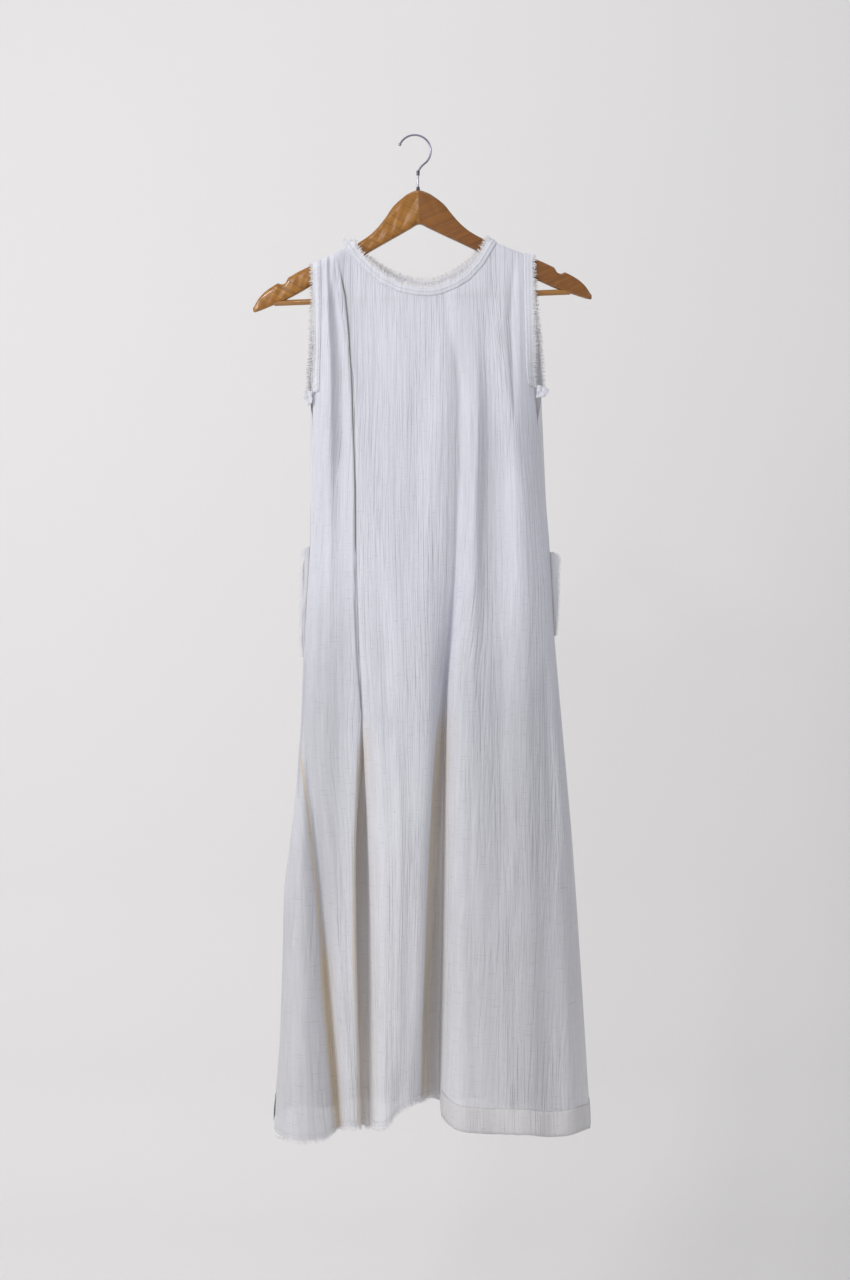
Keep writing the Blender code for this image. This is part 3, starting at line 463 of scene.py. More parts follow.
def across(cut, t, z):
    # Centripetal curve through the fold lines, read at t along them for every height z
    last = len(cut["lines"]) - 1
    k = min(int(t), last - 1)
    p1, p2 = foldLine(cut, k, z), foldLine(cut, k + 1, z)
    p0 = foldLine(cut, k - 1, z) if k > 0 else 2 * p1 - p2
    p3 = foldLine(cut, k + 2, z) if k + 2 <= last else 2 * p2 - p1
    gaps = [np.sqrt(np.maximum(np.hypot(*(b - a)), 1e-5)) for a, b in ((p0, p1), (p1, p2), (p2, p3))]
    t1, t2, t3 = gaps[0], gaps[0] + gaps[1], gaps[0] + gaps[1] + gaps[2]
    at = t1 + (t - k) * gaps[1]
    a1 = p0 + (p1 - p0) * (at / t1)
    a2 = p1 + (p2 - p1) * ((at - t1) / (t2 - t1))
    a3 = p2 + (p3 - p2) * ((at - t2) / (t3 - t2))
    b1 = a1 + (a2 - a1) * (at / t2)
    b2 = a2 + (a3 - a2) * ((at - t1) / (t3 - t1))
    return b1 + (b2 - b1) * ((at - t1) / (t2 - t1))


def overArm(cut, x, y, z):
    shoulder = np.array(shoulderLine)
    below = np.clip((np.interp(x, shoulder[:, 0], shoulder[:, 1]) - z) / turnHeight, 0, 1)
    turned = np.sqrt(1 - (1 - below) ** 2)
    return np.stack([x, y - cut["outward"] * turnDepth * (1 - turned), z], axis=-1)


def topOf(cut, t):
    inside = cut["neckLines"][0] < t < cut["neckLines"][1]
    table = np.array(cut["neck"] if inside else shoulderLine)
    z = np.array([-foldLevels[0]])
    for _ in range(6):
        z = np.interp(across(cut, t, z)[0], table[:, 0], table[:, 1])
    return float(z[0])


def hemOf(cut, t):
    heights = [line[2] for line in cut["lines"]]
    return float(easedAt(range(len(heights)), heights, np.array([t]))[0])


def layCloth(cut, columns, shares):
    # Points of the panel: rows over the shoulder's turn first, then at these shares of the way to the hem
    drops = np.array((0.0, 0.0006, 0.0013, 0.0023, 0.0036, 0.0056, 0.008))
    grid = []
    for t in columns:
        top, hem = topOf(cut, t), hemOf(cut, t)
        z = np.concatenate([top - drops[:-1], top - drops[-1] + (hem - top + drops[-1]) * shares])
        grid.append(overArm(cut, *across(cut, t, z), z))
    return np.stack(grid, axis=1)


def evenColumns(cut, count):
    # Values of t an even way apart along the cloth, with its width summed over three heights
    fine = np.linspace(0, len(cut["lines"]) - 1, 1600)
    gone = np.zeros(len(fine))
    for level in (-0.40, -0.747, -1.10):
        line = np.array([across(cut, t, np.array([level]))[:, 0] for t in fine])
        gone[1:] += np.cumsum(np.hypot(*np.diff(line, axis=0).T))
    return np.interp(np.linspace(0, gone[-1], count), gone, fine)


def normalsOf(grid, outward):
    down, along = np.gradient(grid, axis=0), np.gradient(grid, axis=1)
    out = np.cross(down, along) if outward < 0 else np.cross(along, down)
    return out / np.maximum(np.linalg.norm(out, axis=-1, keepdims=True), 1e-12)


def running(steps):
    # Sums so far along the last axis, from zero
    return np.concatenate([np.zeros_like(steps[..., :1]), np.cumsum(steps, axis=-1)], axis=-1)


def weaveOf(grid, middle=None):
    # Places in the weave: metres along the row from the middle column, and metres down
    u = running(np.linalg.norm(np.diff(grid, axis=1), axis=-1))
    middle = grid.shape[1] // 2 if middle is None else middle
    u -= u[:, middle:middle + 1]
    return np.stack([u, -grid[..., 2], np.zeros_like(u)], axis=-1)


def ripple(weave, fineness, seed):
    # Noise over the weave, as many features a metre across and down
    flat = weave.reshape(-1, 3)
    values = [noise.noise(Vector((u * fineness[0] + seed * 17.3, v * fineness[1] - seed * 5.1, seed)))
              for u, v, _ in flat]
    return np.array(values).reshape(weave.shape[:2])


def smooth(value, low, high):
    s = np.clip((value - low) / (high - low), 0, 1)
    return s * s * (3 - 2 * s)


def softFolds(grid, folds):
    # Sum of soft ridges (height above 0) and troughs (below 0), each along a line of (across, height) points
    total = np.zeros(grid.shape[:2])
    x, z = grid[..., 0], grid[..., 2]
    for line, width, height in folds:
        places = np.array(line)
        top, low = places[0, 1], places[-1, 1]
        middle = np.interp(-z, -places[:, 1], places[:, 0])
        ends = smooth(-z, -top - 0.03, -top + 0.03) * smooth(z, low - 0.04, low + 0.04)
        total += height * np.exp(-((x - middle) / width) ** 2) * ends
    return total


def sidedFolds(grid, strips):
    # Strips of painted shade, and of painted light for the glows, each with a soft width of its own on each side of its
    # line
    total = np.zeros(grid.shape[:2])
    x, z = grid[..., 0], grid[..., 2]
    for line, leftWidth, rightWidth, amount in strips:
        places = np.array(metres(line))
        widths = metres((leftWidth, rightWidth))
        top, low = places[0, 1], places[-1, 1]
        away = x - np.interp(-z, -places[:, 1], places[:, 0])
        width = np.where(away < 0, *widths)
        fade = 0.008 + 3.5 * max(*widths, 0.012)      # broad shades begin and end slowly
        ends = smooth(-z, -top - 0.01, -top + fade) * smooth(z, low - 0.03, low + 0.01)
        total = np.maximum(total, amount * np.exp(-(away / width) ** 2) * ends)
    return total


def clothPiece(name, grid, weave, material, shade=None, outward=-1, thick=0.0, glow=None):
    # A bmesh grid laid onto the points, with its weave and shade kept on it
    rows, columns = grid.shape[:2]
    sheet = bmesh.new()
    bmesh.ops.create_grid(sheet, x_segments=columns - 1, y_segments=rows - 1, size=0.5)
    mesh = meshOf(name, sheet)
    flat = np.empty(len(mesh.vertices) * 3, np.float32)
    mesh.vertices.foreach_get("co", flat)
    flat = flat.reshape(-1, 3)
    column = np.rint((flat[:, 0] + 0.5) * (columns - 1)).astype(int)
    row = np.rint((flat[:, 1] + 0.5) * (rows - 1)).astype(int)
    mesh.vertices.foreach_set("co", grid[row, column].astype(np.float32).ravel())
    kept = mesh.attributes.new("weave", "FLOAT_VECTOR", "POINT")
    kept.data.foreach_set("vector", weave[row, column].astype(np.float32).ravel())
    for label, values in (("shade", shade), ("glow", glow)):
        kept = mesh.attributes.new(label, "FLOAT", "POINT")
        values = np.zeros((rows, columns)) if values is None else values
        kept.data.foreach_set("value", values[row, column].astype(np.float32).ravel())
    if outward < 0:
        mesh.flip_normals()
    mesh.update()
    mesh.shade_smooth()
    piece = placed(name, mesh, material)
    if thick:
        wall = piece.modifiers.new("wall", "SOLIDIFY")
        wall.thickness, wall.offset = thick, 0
    return piece


def clothArea(grid):
    a, b = grid[1:, 1:] - grid[:-1, :-1], grid[1:, :-1] - grid[:-1, 1:]
    return float(np.linalg.norm(np.cross(a, b), axis=-1).sum() / 2)


# Front and back

# The two strips that show under the folds, as points (across, height) down them
mainStrip = ((34.5, -745), (28.5, -800), (23.5, -870), (19, -960), (15, -1060), (11, -1160), (9.5, -1262))
sideStrip = ((-68, -765), (-74.5, -840), (-79, -950), (-80, -1080), (-74, -1190), (-74, -1300))
frontCloth = {
    "columns": 300, "rows": 300,
    # points down the fold (across, height), half width, height: ridges above 0, troughs below
    "folds": metres((
        (((131, -170), (126.2, -228), (124, -255), (128, -310), (131, -360)), 5, -2.2),
        (((140, -160), (138.5, -260), (139, -330)), 4.5, 1.2),
        (((96.5, -225), (95.5, -340), (94.5, -470), (90, -560)), 10, -2.6),
        (((108, -320), (107, -450), (106, -600)), 15, -2.8),
        (((112.5, -680), (112, -790), (116, -980)), 12, -3),
        (((80, -420), (79, -560), (74, -800)), 7, 1.6),
        (((175, -700), (175.5, -790), (182, -930)), 8, -2.4),
        (((142, -440), (143, -700), (150, -1050), (152, -1250)), 11, 2),
        (((-106, -200), (-107, -235), (-105, -262)), 6, -3.6),
        (((-101, -250), (-100.5, -340), (-98.5, -460)), 6.5, -2.6),
        (((-114, -210), (-115, -330), (-117, -460)), 5.5, 1.8),
        (((-120, -500), (-121, -660), (-128, -840)), 5.5, -2),
        (((-156, -940), (-161, -1060), (-163, -1280)), 5, -2.6),
        (((-30, -330), (-33, -480), (-28, -660)), 12, 1.2),
        (((6, -300), (3, -430), (4, -600)), 11, -1.2),
        (((-50, -240), (-48, -330), (-50, -450)), 9, -1.2),
        (((34, -260), (32, -360), (30, -470)), 8, 1.1),
        (((-20, -800), (-16, -980), (-20, -1200)), 8, 1.8),
        (((-38, -620), (-33, -800), (-30, -1050)), 7, -1.2),
        (((70, -860), (74, -1050), (78, -1280)), 8, -1.6),
        (((125, -1020), (128, -1160), (131, -1300)), 7, -1.6),
        (((200, -950), (208, -1120), (215, -1290)), 7, -1.8),
    )),
    # painted shade where little light reaches: the line of points, soft width to its left and right, amount
    "shades": (
        (((-105.5, -157), (-99.5, -175), (-91.2, -215), (-86.7, -262), (-83.5, -315),
          (-80.5, -395), (-77.8, -470), (-77.5, -550)), 1.5, 1.7, 1.0),
        (((-162, -940), (-168, -1080), (-172, -1420)), 30, 30, 0.30),
        (((118, -540), (136, -760), (145, -900), (148, -1060), (150, -1420)), 70, 50, 0.42),
        (((-109, -560), (-111, -760), (-116, -900), (-124, -1040), (-130, -1420)), 45, 24, 0.42),
        (((39, -665), *mainStrip), 1, 17, 0.20),
        (((50, -255), (47, -400), (42, -530), (37, -640), (34, -720)), 5, 10, 0.26),
        (sideStrip, 1, 16, 0.06),
        (((101, -330), (100, -450), (96, -560), (101, -750), (112, -980)), 20, 15, 0.30),
        (((128, -185), (125.5, -240), (126.5, -300), (129, -360)), 3, 1.8, 0.45),
        (((-108.5, -205), (-106, -235), (-103, -262), (-101, -300), (-99, -420)), 4, 5, 0.32),
        (((-143, -660), (-147, -760), (-152, -830), (-152, -870)), 3, 3, 0.45),
        (((-153, -950), (-159, -1060), (-161, -1160), (-162, -1270)), 1.2, 2, 0.35),
        (((123, -800), (129, -980), (134, -1200), (134, -1280)), 6, 3, 0.16),
        (((-77.5, -530), (-78.5, -620), (-75, -700), (-69, -765)), 1, 3, 0.75),
    ),
    # glows: painted light, the tan of light shining through the cloth
    "glows": (      # the same for the tan that shines through
        (mainStrip, 1.2, 16.5, 0.60),
        (sideStrip, 1.4, 14.5, 0.46),
        (((-153.5, -795), (-141, -880), (-127, -1000), (-118, -1120), (-112, -1200), (-99, -1300)), 1.6, 2.2, 0.70),
        (((-121.5, -1050), (-117, -1120), (-110, -1200), (-97, -1340)), 4.2, 6.4, 0.85),
    ),
}
backCloth = {
    "columns": 190, "rows": 170,
    "folds": metres((
        (((-95, -300), (-96, -500), (-100, -800)), 9, -2.2),
        (((-30, -260), (-32, -450), (-28, -750)), 11, 1.8),
        (((35, -250), (37, -520), (45, -900)), 10, -2.2),
        (((118, -200), (121, -400), (128, -700)), 7, 1.6),
        (((-115, -600), (-126, -900), (-138, -1250)), 9, -2.6),
        (((5, -800), (12, -1020), (18, -1280)), 9, -2.4),
        (((148, -700), (162, -950), (176, -1260)), 9, 2.4),
    )),
    "shades": (), "glows": (),
}


panelLay = {
    "middle": 0.006,       # the weave is laid out from here, across
    "waist": -0.48,        # below this height it follows the waist's columns by three quarters
    # the painted shadow along the raw hem's edge: its amount and its height
    "hemDrop": 0.0108, "hemShade": 0.38, "hemShadeHeight": 0.0026,
}


def crinkleOn(weave):
    # Coarse and fine crinkle, strong in some places and faint in others
    waves = (0.0011 * ripple(weave, (34, 3.2), 3) + 0.0007 * ripple(weave, (78, 7.0), 5)
             + 0.0006 * abs(ripple(weave, (118, 11), 7)) + 0.0003 * ripple(weave, (230, 26), 9))
    return waves * np.clip(0.62 + 1.1 * ripple(weave, (11, 4.6), 15), 0.15, 1.25)


def panelPiece(name, cut, cloth, material):
    # The whole panel with its main folds, then soft folds and crinkle moved square to the cloth
    columns = evenColumns(cut, cloth["columns"])
    base = grid = layCloth(cut, columns, np.linspace(0, 1, cloth["rows"] - 6))
    weave = weaveOf(grid, 0)
    near = (columns > cut["middleLines"][0]) & (columns < cut["middleLines"][1])
    middles = [np.interp(panelLay["middle"], row[near, 0], u[near]) for row, u in zip(grid, weave[..., 0])]
    weave[..., 0] -= np.array(middles)[:, None]
    waist = int(np.argmax(grid[:, 0, 2] < panelLay["waist"]))
    weave[waist:, :, 0] = 0.25 * weave[waist:, :, 0] + 0.75 * weave[waist, :, 0]
    out = normalsOf(grid, cut["outward"])
    x, z = grid[..., 0], grid[..., 2]
    free = smooth(np.minimum(abs(x - grid[:, :1, 0]), abs(x - grid[:, -1:, 0])), 0.002, 0.022)
    yoke = 1 - 0.55 * smooth(x, 0.02, 0.10) * smooth(z, -0.36, -0.24)
    height = crinkleOn(weave) * (0.35 + 0.65 * free) * yoke + softFolds(grid, cloth["folds"]) * free
    height *= smooth(-z, 0.150, 0.185) * 0.8 + 0.2
    grid = grid + out * height[..., None]
    # The raw hem hangs lower than the solid's edge and is ragged
    low = smooth(-grid[..., 2], 1.20, 1.31)
    raw = smooth(-columns, *cut["rawFade"]) if "rawFade" in cut else np.zeros(len(columns))
    around = weave * (1, 0, 0)
    ragged = 0.0016 * ripple(around, (60, 1), 11) + 0.0036 * raw * ripple(around, (300, 1), 13)
    grid[..., 2] += low * (ragged - panelLay["hemDrop"] * raw)
    # Painted shade along the table's strips, a painted shadow along the raw hem's edge, and painted light along the
    # glows
    shade = np.clip(sidedFolds(grid, cloth["shades"]), 0, 1)
    fromHem = grid[..., 2] - grid[-1:, :, 2]
    shade = np.maximum(shade, panelLay["hemShade"] * raw * np.exp(-(fromHem / panelLay["hemShadeHeight"]) ** 2))
    glow = np.clip(sidedFolds(grid, cloth["glows"]), 0, 1)
    piece = clothPiece(name, grid, weave, material, shade, cut["outward"], glow=glow)
    widths = np.linalg.norm(np.diff(grid, axis=1), axis=2).sum(axis=1)
    drop = np.linalg.norm(np.diff(grid[:, len(columns) // 2], axis=0), axis=1).sum()
    print(name, "area", round(clothArea(grid), 3), "middle length", round(float(drop), 3), "widths down",
          [round(float(w), 3) for w in widths[::45]], round(float(widths[-1]), 3))
    return piece, base, grid, columns


# Bindings, hem and pockets

trims = {
    "neckBand": 0.0095, "neckUnder": 0.0022, "armholeBand": 0.0115, "hemBand": 0.0325,
    "wall": 0.0003, "lift": 0.00045, "stitch": (0.0021, 0.00042, 0.00022), "pitch": 0.0032,
}


def edgeOf(grid, row, inner):
    # Spots along one row of a grid, each with the way that leads out of the cloth
    out = grid[row] - grid[inner]
    return grid[row], out / np.linalg.norm(out, axis=1, keepdims=True)


def evenSpots(places, ways, pitch):
    gone = running(np.linalg.norm(np.diff(places, axis=0), axis=1))
    at = np.linspace(0, gone[-1], max(2, round(gone[-1] / pitch)))
    spots = np.stack([np.interp(at, gone, places[:, i]) for i in range(3)], axis=1)
    out = np.stack([np.interp(at, gone, ways[:, i]) for i in range(3)], axis=1)
    return spots, out / np.linalg.norm(out, axis=1, keepdims=True)


# Loose threads and stitches

def roundCurve(name, radius, fineness):
    curve = bpy.data.curves.new(name, "CURVE")
    curve.dimensions, curve.bevel_depth, curve.bevel_resolution = "3D", radius, fineness
    curve.use_fill_caps = True
    return curve


# Yarn along each kind of edge: length, pitch, radius, how far it leans and curls, rows lying along the edge
frays = {
    "armhole": (0.0064, 0.0008, 0.00034, 0.42, 2), "neck": (0.0068, 0.0008, 0.00038, 0.42, 2),
    "pocket": (0.0036, 0.0007, 0.00030, 0.5, 1), "underarm": (0.0034, 0.0007, 0.00032, 0.6, 1),
    "hem": (0.0048, 0.0009, 0.00036, 0.5, 1),
}


def threads(name, places, ways, material, kind, seed):
    # Loose ends of yarn along an edge, with a few yarns still lying along it
    length, pitch, radius, lie, cross = frays[kind]
    rng = random.Random(seed)
    curve = roundCurve(name, radius, 0)

    def strand(points):
        line = curve.splines.new("POLY")
        line.points.add(len(points) - 1)
        for i, (spot, at) in enumerate(zip(line.points, points)):
            spot.co = (*at, 1)
            spot.radius = 1.0 - 0.6 * (i / (len(points) - 1)) ** 2

    spots, out = evenSpots(places, ways, pitch)
    for i in range(1, len(spots) - 1):
        at, way = Vector(spots[i]), Vector(out[i])
        side = Vector(spots[i + 1] - spots[i - 1]).normalized()
        face = side.cross(way)
        reach = length * rng.choice((0.55, 0.8, 0.95, 1.0)) * rng.uniform(0.8, 1.12)
        lean, curl, lift = rng.gauss(0, lie), rng.gauss(0, lie), rng.gauss(0, 0.14)
        points = [at - way * 0.0012]
        for s in (0.35, 0.7, 1.0):
            forward, sideways = way * s * (1 - 0.12 * abs(curl) * s), side * (lean * s * 0.5 + curl * s * s * 0.4)
            points.append(at + reach * (forward + sideways + face * lift * s))
        strand(points)
    for k in range(cross):
        offset = length * (0.12 + 0.5 * k / cross)
        start = 0
        while start < len(spots) - 12:
            run = rng.randint(14, 60)
            line = [Vector(spots[j]) + Vector(out[j]) * (offset + rng.gauss(0, length * 0.03))
                    for j in range(start, min(start + run, len(spots)), 3)]
            if len(line) > 2:
                strand(line)
            start += run + rng.randint(0, 10)
    return placed(name, curve, material)


def stitches(name, lines, material):
    # Rows of short stitches. lines holds (places, outward ways) of each row
    made = bmesh.new()
    for places, ways in lines:
        spots, out = evenSpots(places, ways, trims["pitch"])
        for i in range(1, len(spots) - 1):
            along = Vector(spots[i + 1] - spots[i - 1]).normalized()
            face = Vector(out[i])
            side = face.cross(along).normalized()
            turn = Matrix((along, side, along.cross(side))).transposed().to_4x4()
            new = bmesh.ops.create_cube(made, size=1.0)["verts"]
            bmesh.ops.scale(made, vec=trims["stitch"], verts=new)
            bmesh.ops.transform(made, matrix=Matrix.Translation(Vector(spots[i]) + face * 0.0001) @ turn, verts=new)
    return placed(name, meshOf(name, made), material)


def edgeStrip(grid, side, widths, lowest):
    # Strip along a side edge of a laid panel, from the shoulder down to this height
    rows = int(np.argmax(grid[:, 0 if side == "left" else -1, 2] < lowest))
    part = grid[:rows, :90] if side == "left" else grid[:rows, ::-1][:, :90]
    gone = running(np.linalg.norm(np.diff(part, axis=1), axis=2))
    return np.stack([[[np.interp(w, gone[r], part[r, :, i]) for i in range(3)] for r in range(rows)] for w in widths])


armholes = {"left": {"lowest": -0.3455, "lean": -0.9, "seed": 31}, "right": {"lowest": -0.338, "lean": 0.9, "seed": 37}}


def armholeBand(side, grids, materials):
    settings = armholes[side]
    widths = np.linspace(0, trims["armholeBand"], 9)
    front, back = (edgeStrip(grids[label], side, widths, settings["lowest"]) for label in ("front", "back"))
    path = np.concatenate([front[:, ::-1], back[:, 1:]], axis=1)
    out = normalsOf(path, 1)
    out *= np.sign((out * (path - path.mean(axis=(0, 1)))).sum(axis=-1).mean())
    path = path + out * bandLift(path, 21)[..., None]
    piece = clothPiece(f"armholeBand_{side}", path, weaveOf(path), materials["band"], thick=trims["wall"])
    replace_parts(piece, f"armhole_band_{side}")
    places, ways = edgeOf(path, 0, 2)
    ways = ways + (settings["lean"], 0.0, 0.0)
    fray = threads(f"armholeFray_{side}", places, ways, materials["thread"], "armhole", settings["seed"])
    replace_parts(fray, f"fringe_armhole_{side}")
    seam = stitches(f"armholeStitches_{side}", [(path[6] + out[6] * 0.0004, out[6])], materials["stitch"])
    return piece, [fray, seam]


def bandLift(path, seed):
    # Height of a binding over the cloth: two soft rolls, with the inner edge pressed flat
    share = np.linspace(0, 1, len(path))[:, None]
    rolls = 0.0003 * np.sin(math.pi * share) + 0.00028 * np.cos(4 * math.pi * share)
    edge = smooth(1 - share, 0.0, 0.16)
    return (trims["lift"] + rolls + 0.00045 * ripple(weaveOf(path), (170, 40), seed)) * edge + 0.00015


def neckBand(name, cut, base, grid, columns, materials, seed):
    low, high = cut["neckLines"]
    inside = np.where((columns > low) & (columns < high))[0]
    pick = np.concatenate([[inside[0] - 1], inside, [inside[-1] + 1]])
    shift = grid[0, pick, 1] - base[0, pick, 1]
    flat = np.array([(*across(cut, columns[c], np.array([base[0, c, 2]]))[:, 0], base[0, c, 2]) for c in pick])
    # even steps along the neckline, finer than the panel's own columns
    gone = running(np.hypot(*np.diff(flat[:, (0, 2)], axis=0).T))
    at = np.linspace(0, gone[-1], 170)
    edge = np.stack([np.interp(at, gone, flat[:, i]) for i in range(3)], axis=1)
    shift = np.interp(at, gone, shift)
    along = np.gradient(edge[:, (0, 2)], axis=0)
    for _ in range(3):
        along[1:-1] = (along[:-2] + along[1:-1] + along[2:]) / 3
    along /= np.linalg.norm(along, axis=1, keepdims=True)
    widths = np.linspace(-trims["neckUnder"], trims["neckBand"], 9)
    rows = [overArm(cut, edge[:, 0] - along[:, 1] * w, edge[:, 1] + shift, edge[:, 2] + along[:, 0] * w)
            for w in widths]
    path = np.stack(rows)[::-1]
    out = normalsOf(path, cut["outward"])
    path = path + out * bandLift(path, seed)[..., None]
    piece = clothPiece(name, path, weaveOf(path), materials["band"], outward=cut["outward"], thick=trims["wall"])
    places, ways = edgeOf(path, 0, 2)
    fray = threads(name.replace("Band", "Fray"), places, ways, materials["thread"], "neck", seed)
    lines = [(path[row] + out[row] * 0.0004, out[row]) for row in (4, 7)]
    seam = stitches(name.replace("Band", "Stitches"), lines, materials["stitch"])
    return piece, [fray, seam]


def hemBand(name, grid, columns, first, outward, materials):
    # Deep turned hem over the panel's last rows
    pick = np.where(columns >= first)[0]
    depth = grid[:, pick, 2] - grid[-1:, pick, 2]
    share = np.linspace(0, 1, 12)[:, None]
    band = np.array([[[np.interp(-want, -depth[:, c], grid[:, column, i]) for i in range(3)]
                      for c, column in enumerate(pick)] for want in trims["hemBand"] * np.linspace(1, 0, 12)])
    out = normalsOf(band, outward)
    weave = weaveOf(band)
    puff = 0.0005 * np.sin(math.pi * share) + 0.0016 * ripple(weave, (52, 7), 41) * np.sin(math.pi * share) ** 0.5
    puff = np.maximum(puff, -0.0002) - 0.0006 * np.exp(-((share - 0.86) / 0.05) ** 2)
    band = band + out * (0.0006 + puff)[..., None]
    # The band is dimmed evenly with painted shade
    piece = clothPiece(name, band, weave, materials["band"], np.full(weave.shape[:2], 0.22), outward, trims["wall"])
    seam = stitches(name.replace("Band", "Stitches"), [(band[10] + out[10] * 0.0005, out[10])], materials["stitch"])
    return piece, [seam]


pockets = {
    # height, how far the facing stands out of the side seam
    "left": metres(((-543.5, 3), (-547.5, 10.5), (-552, 11.5), (-560, 8), (-570, 8.8), (-597, 7.8), (-627, 7.6),
                    (-660, 4.8), (-690, 1.5))),
    "right": metres(((-550.8, 4), (-556, 11.5), (-562, 12), (-576, 10), (-597, 8.5), (-627.6, 6), (-648, 3.6),
                     (-662, 1.5))),
}


def pocketFacing(side, materials):
    way = -1 if side == "left" else 1
    table = np.array(pockets[side])
    seam = np.array(leftEdge if side == "left" else rightEdge)
    heights = np.linspace(table[0, 0], table[-1, 0], 46)
    wide = np.interp(-heights, -table[:, 0], table[:, 1])
    at = np.interp(-heights, -seam[:, 0], seam[:, 1])
    share = np.linspace(0, 1, 8)
    x = at[:, None] + way * wide[:, None] * share
    wave = np.array([[noise.noise(Vector((z * 45, s * 1.3, 3.0 * way))) for s in share] for z in heights])
    y = -0.0006 + 0.0022 * wave * share
    grid = np.stack([x, y, np.repeat(heights[:, None], 8, axis=1)], axis=-1)
    if way < 0:
        grid = grid[:, ::-1]
    # Painted shade over the facing, with a painted shadow along the seam
    seamShade = np.tile(0.12 + 0.5 * np.exp(-(share / 0.2) ** 2), (len(heights), 1))[:, ::way]
    piece = clothPiece(f"pocketFacing_{side}", grid, weaveOf(grid), materials["band"], seamShade, thick=trims["wall"])
    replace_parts(piece, f"pocket_facing_{side}")
    free = grid[:, 0 if way < 0 else -1]
    ways = np.tile((float(way), 0.0, 0.0), (len(free), 1))
    fray = threads(f"pocketFray_{side}", free, ways, materials["thread"], "pocket", 51 + way)
    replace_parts(fray, f"fringe_pocket_{side}")
    return piece, [fray]


tabs = {   # corners of the folded binding under each arm: across, height
    "left": metres((((-148, -338.5), (-134.6, -339)), ((-140.5, -358), (-135, -354.5)), -8.2)),
    "right": metres((((162.5, -330), (177, -336)), ((160, -348), (171.5, -345.5)), -5.6)),
}


def underarmTab(side, materials):
    # The band's folded end: a small crumpled square with a frayed outer edge
    (a, b), (c, d), depth = tabs[side]
    share = np.linspace(0, 1, 14)
    top = np.outer(1 - share, a) + np.outer(share, b)
    low = np.outer(1 - share, c) + np.outer(share, d)
    flat = top[None] * (1 - share)[:, None, None] + low[None] * share[:, None, None]
    crumple = np.array([[noise.noise(Vector((p[0] * 240, p[1] * 240, depth * 900))) for p in row] for row in flat])
    grid = np.stack([flat[..., 0] + 0.0007 * crumple[::-1], depth + 0.0016 * crumple,
                     flat[..., 1] + 0.0008 * crumple.T], axis=-1)
    piece = clothPiece(f"underarmTab_{side}", grid, weaveOf(grid) + (0.3, 0, 0), materials["band"], thick=0.0012)
    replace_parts(piece, f"underarm_tab_{side}")
    outer = 0 if side == "left" else -1
    places, ways = grid[:, outer], grid[:, outer] - grid[:, 3 if side == "left" else -4]
    ways = ways / np.linalg.norm(ways, axis=1, keepdims=True)
    return piece, threads(f"underarmFray_{side}", places, ways, materials["thread"], "underarm", 83)


def makeDress(materials):
    grids, sheets = {}, {}
    for label, cut, cloth, cotton, seed in (("front", frontCut, frontCloth, "cotton", 61),
                                            ("back", backCut, backCloth, "backCottonPaintedLight", 67)):
        piece, base, grid, columns = panelPiece(f"dress_{label}", cut, cloth, materials[cotton])
        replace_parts(piece, f"{label}_panel")
        band, extra = neckBand(f"neckBand_{label}", cut, base, grid, columns, materials, seed)
        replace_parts(band, f"neck_band_{label}")
        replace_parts(extra[0], f"fringe_neck_{label}")
        hem, hemExtra = hemBand(f"hemBand_{label}", grid, columns, cut["deepHemFrom"], cut["outward"], materials)
        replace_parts(hem, f"hem_band_{label}")
        grids[label], sheets[label] = grid, [piece, [band] + extra + [hem] + hemExtra]
        if label == "front":
            raw = np.where(columns <= cut["rawHemTo"])[0]
            places, ways = grid[-1, raw] + (0, 0, 0.001), np.tile((0.0, 0.0, -1.0), (len(raw), 1))
            fray = threads("hemFray_front", places, ways, materials["thread"], "hem", 71)
            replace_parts(fray, "fringe_hem_front")
            out = normalsOf(grid[-4:-1], -1)[1][raw]
            seam = stitches("hemStitches_raw", [(grid[-3, raw] + out * 0.0003, out)], materials["stitch"])
            sheets[label][1] += [fray, seam]
    for side in ("left", "right"):
        band, extra = armholeBand(side, grids, materials)
        facing, fray = pocketFacing(side, materials)
        sheets["front"][1] += [band, facing, *underarmTab(side, materials)] + extra + fray
    return sheets


hanger = {
    "stemAcross": 0.0044, "woodTop": -0.0722, "tilt": math.radians(2.2), "gap": 0.00004,
    # out along the arm, top below the apex, underside, thickness
    "arm": metres((
        (0.2, 0, 45, 13), (12, 3.6, 50.5, 13), (22.5, 10.5, 56, 13), (34, 20.5, 62, 12.6), (44, 34, 67.1, 12.2),
        (54, 46, 72.2, 11.8), (66, 56.8, 78.5, 10.6), (83, 67.1, 87.3, 9.2), (106, 78.1, 98.5, 9),
        (130, 88.3, 111.5, 9.4), (157.5, 99.5, 127, 11), (178, 110, 137, 11), (195, 118.5, 143.5, 11),
        (207, 126.2, 148, 10.6), (216, 135, 151.2, 10), (222.5, 145, 153, 6))),
    "notch": metres((184.5, 110.5, 7)),      # out, drop and radius of the strap notch
    "sections": 120, "around": 40, "roundness": 0.55,
    "bar": {"drop": 0.1418, "half": 0.196, "radius": 0.0038},
}


def onHanger(points):
    # From the hanger's own frame, with its apex at the origin, to the place where it hangs
    turn = Matrix.Rotation(-hanger["tilt"], 3, "Y")
    return [Vector((hanger["stemAcross"], 0, hanger["woodTop"])) + turn @ Vector(p) for p in points]


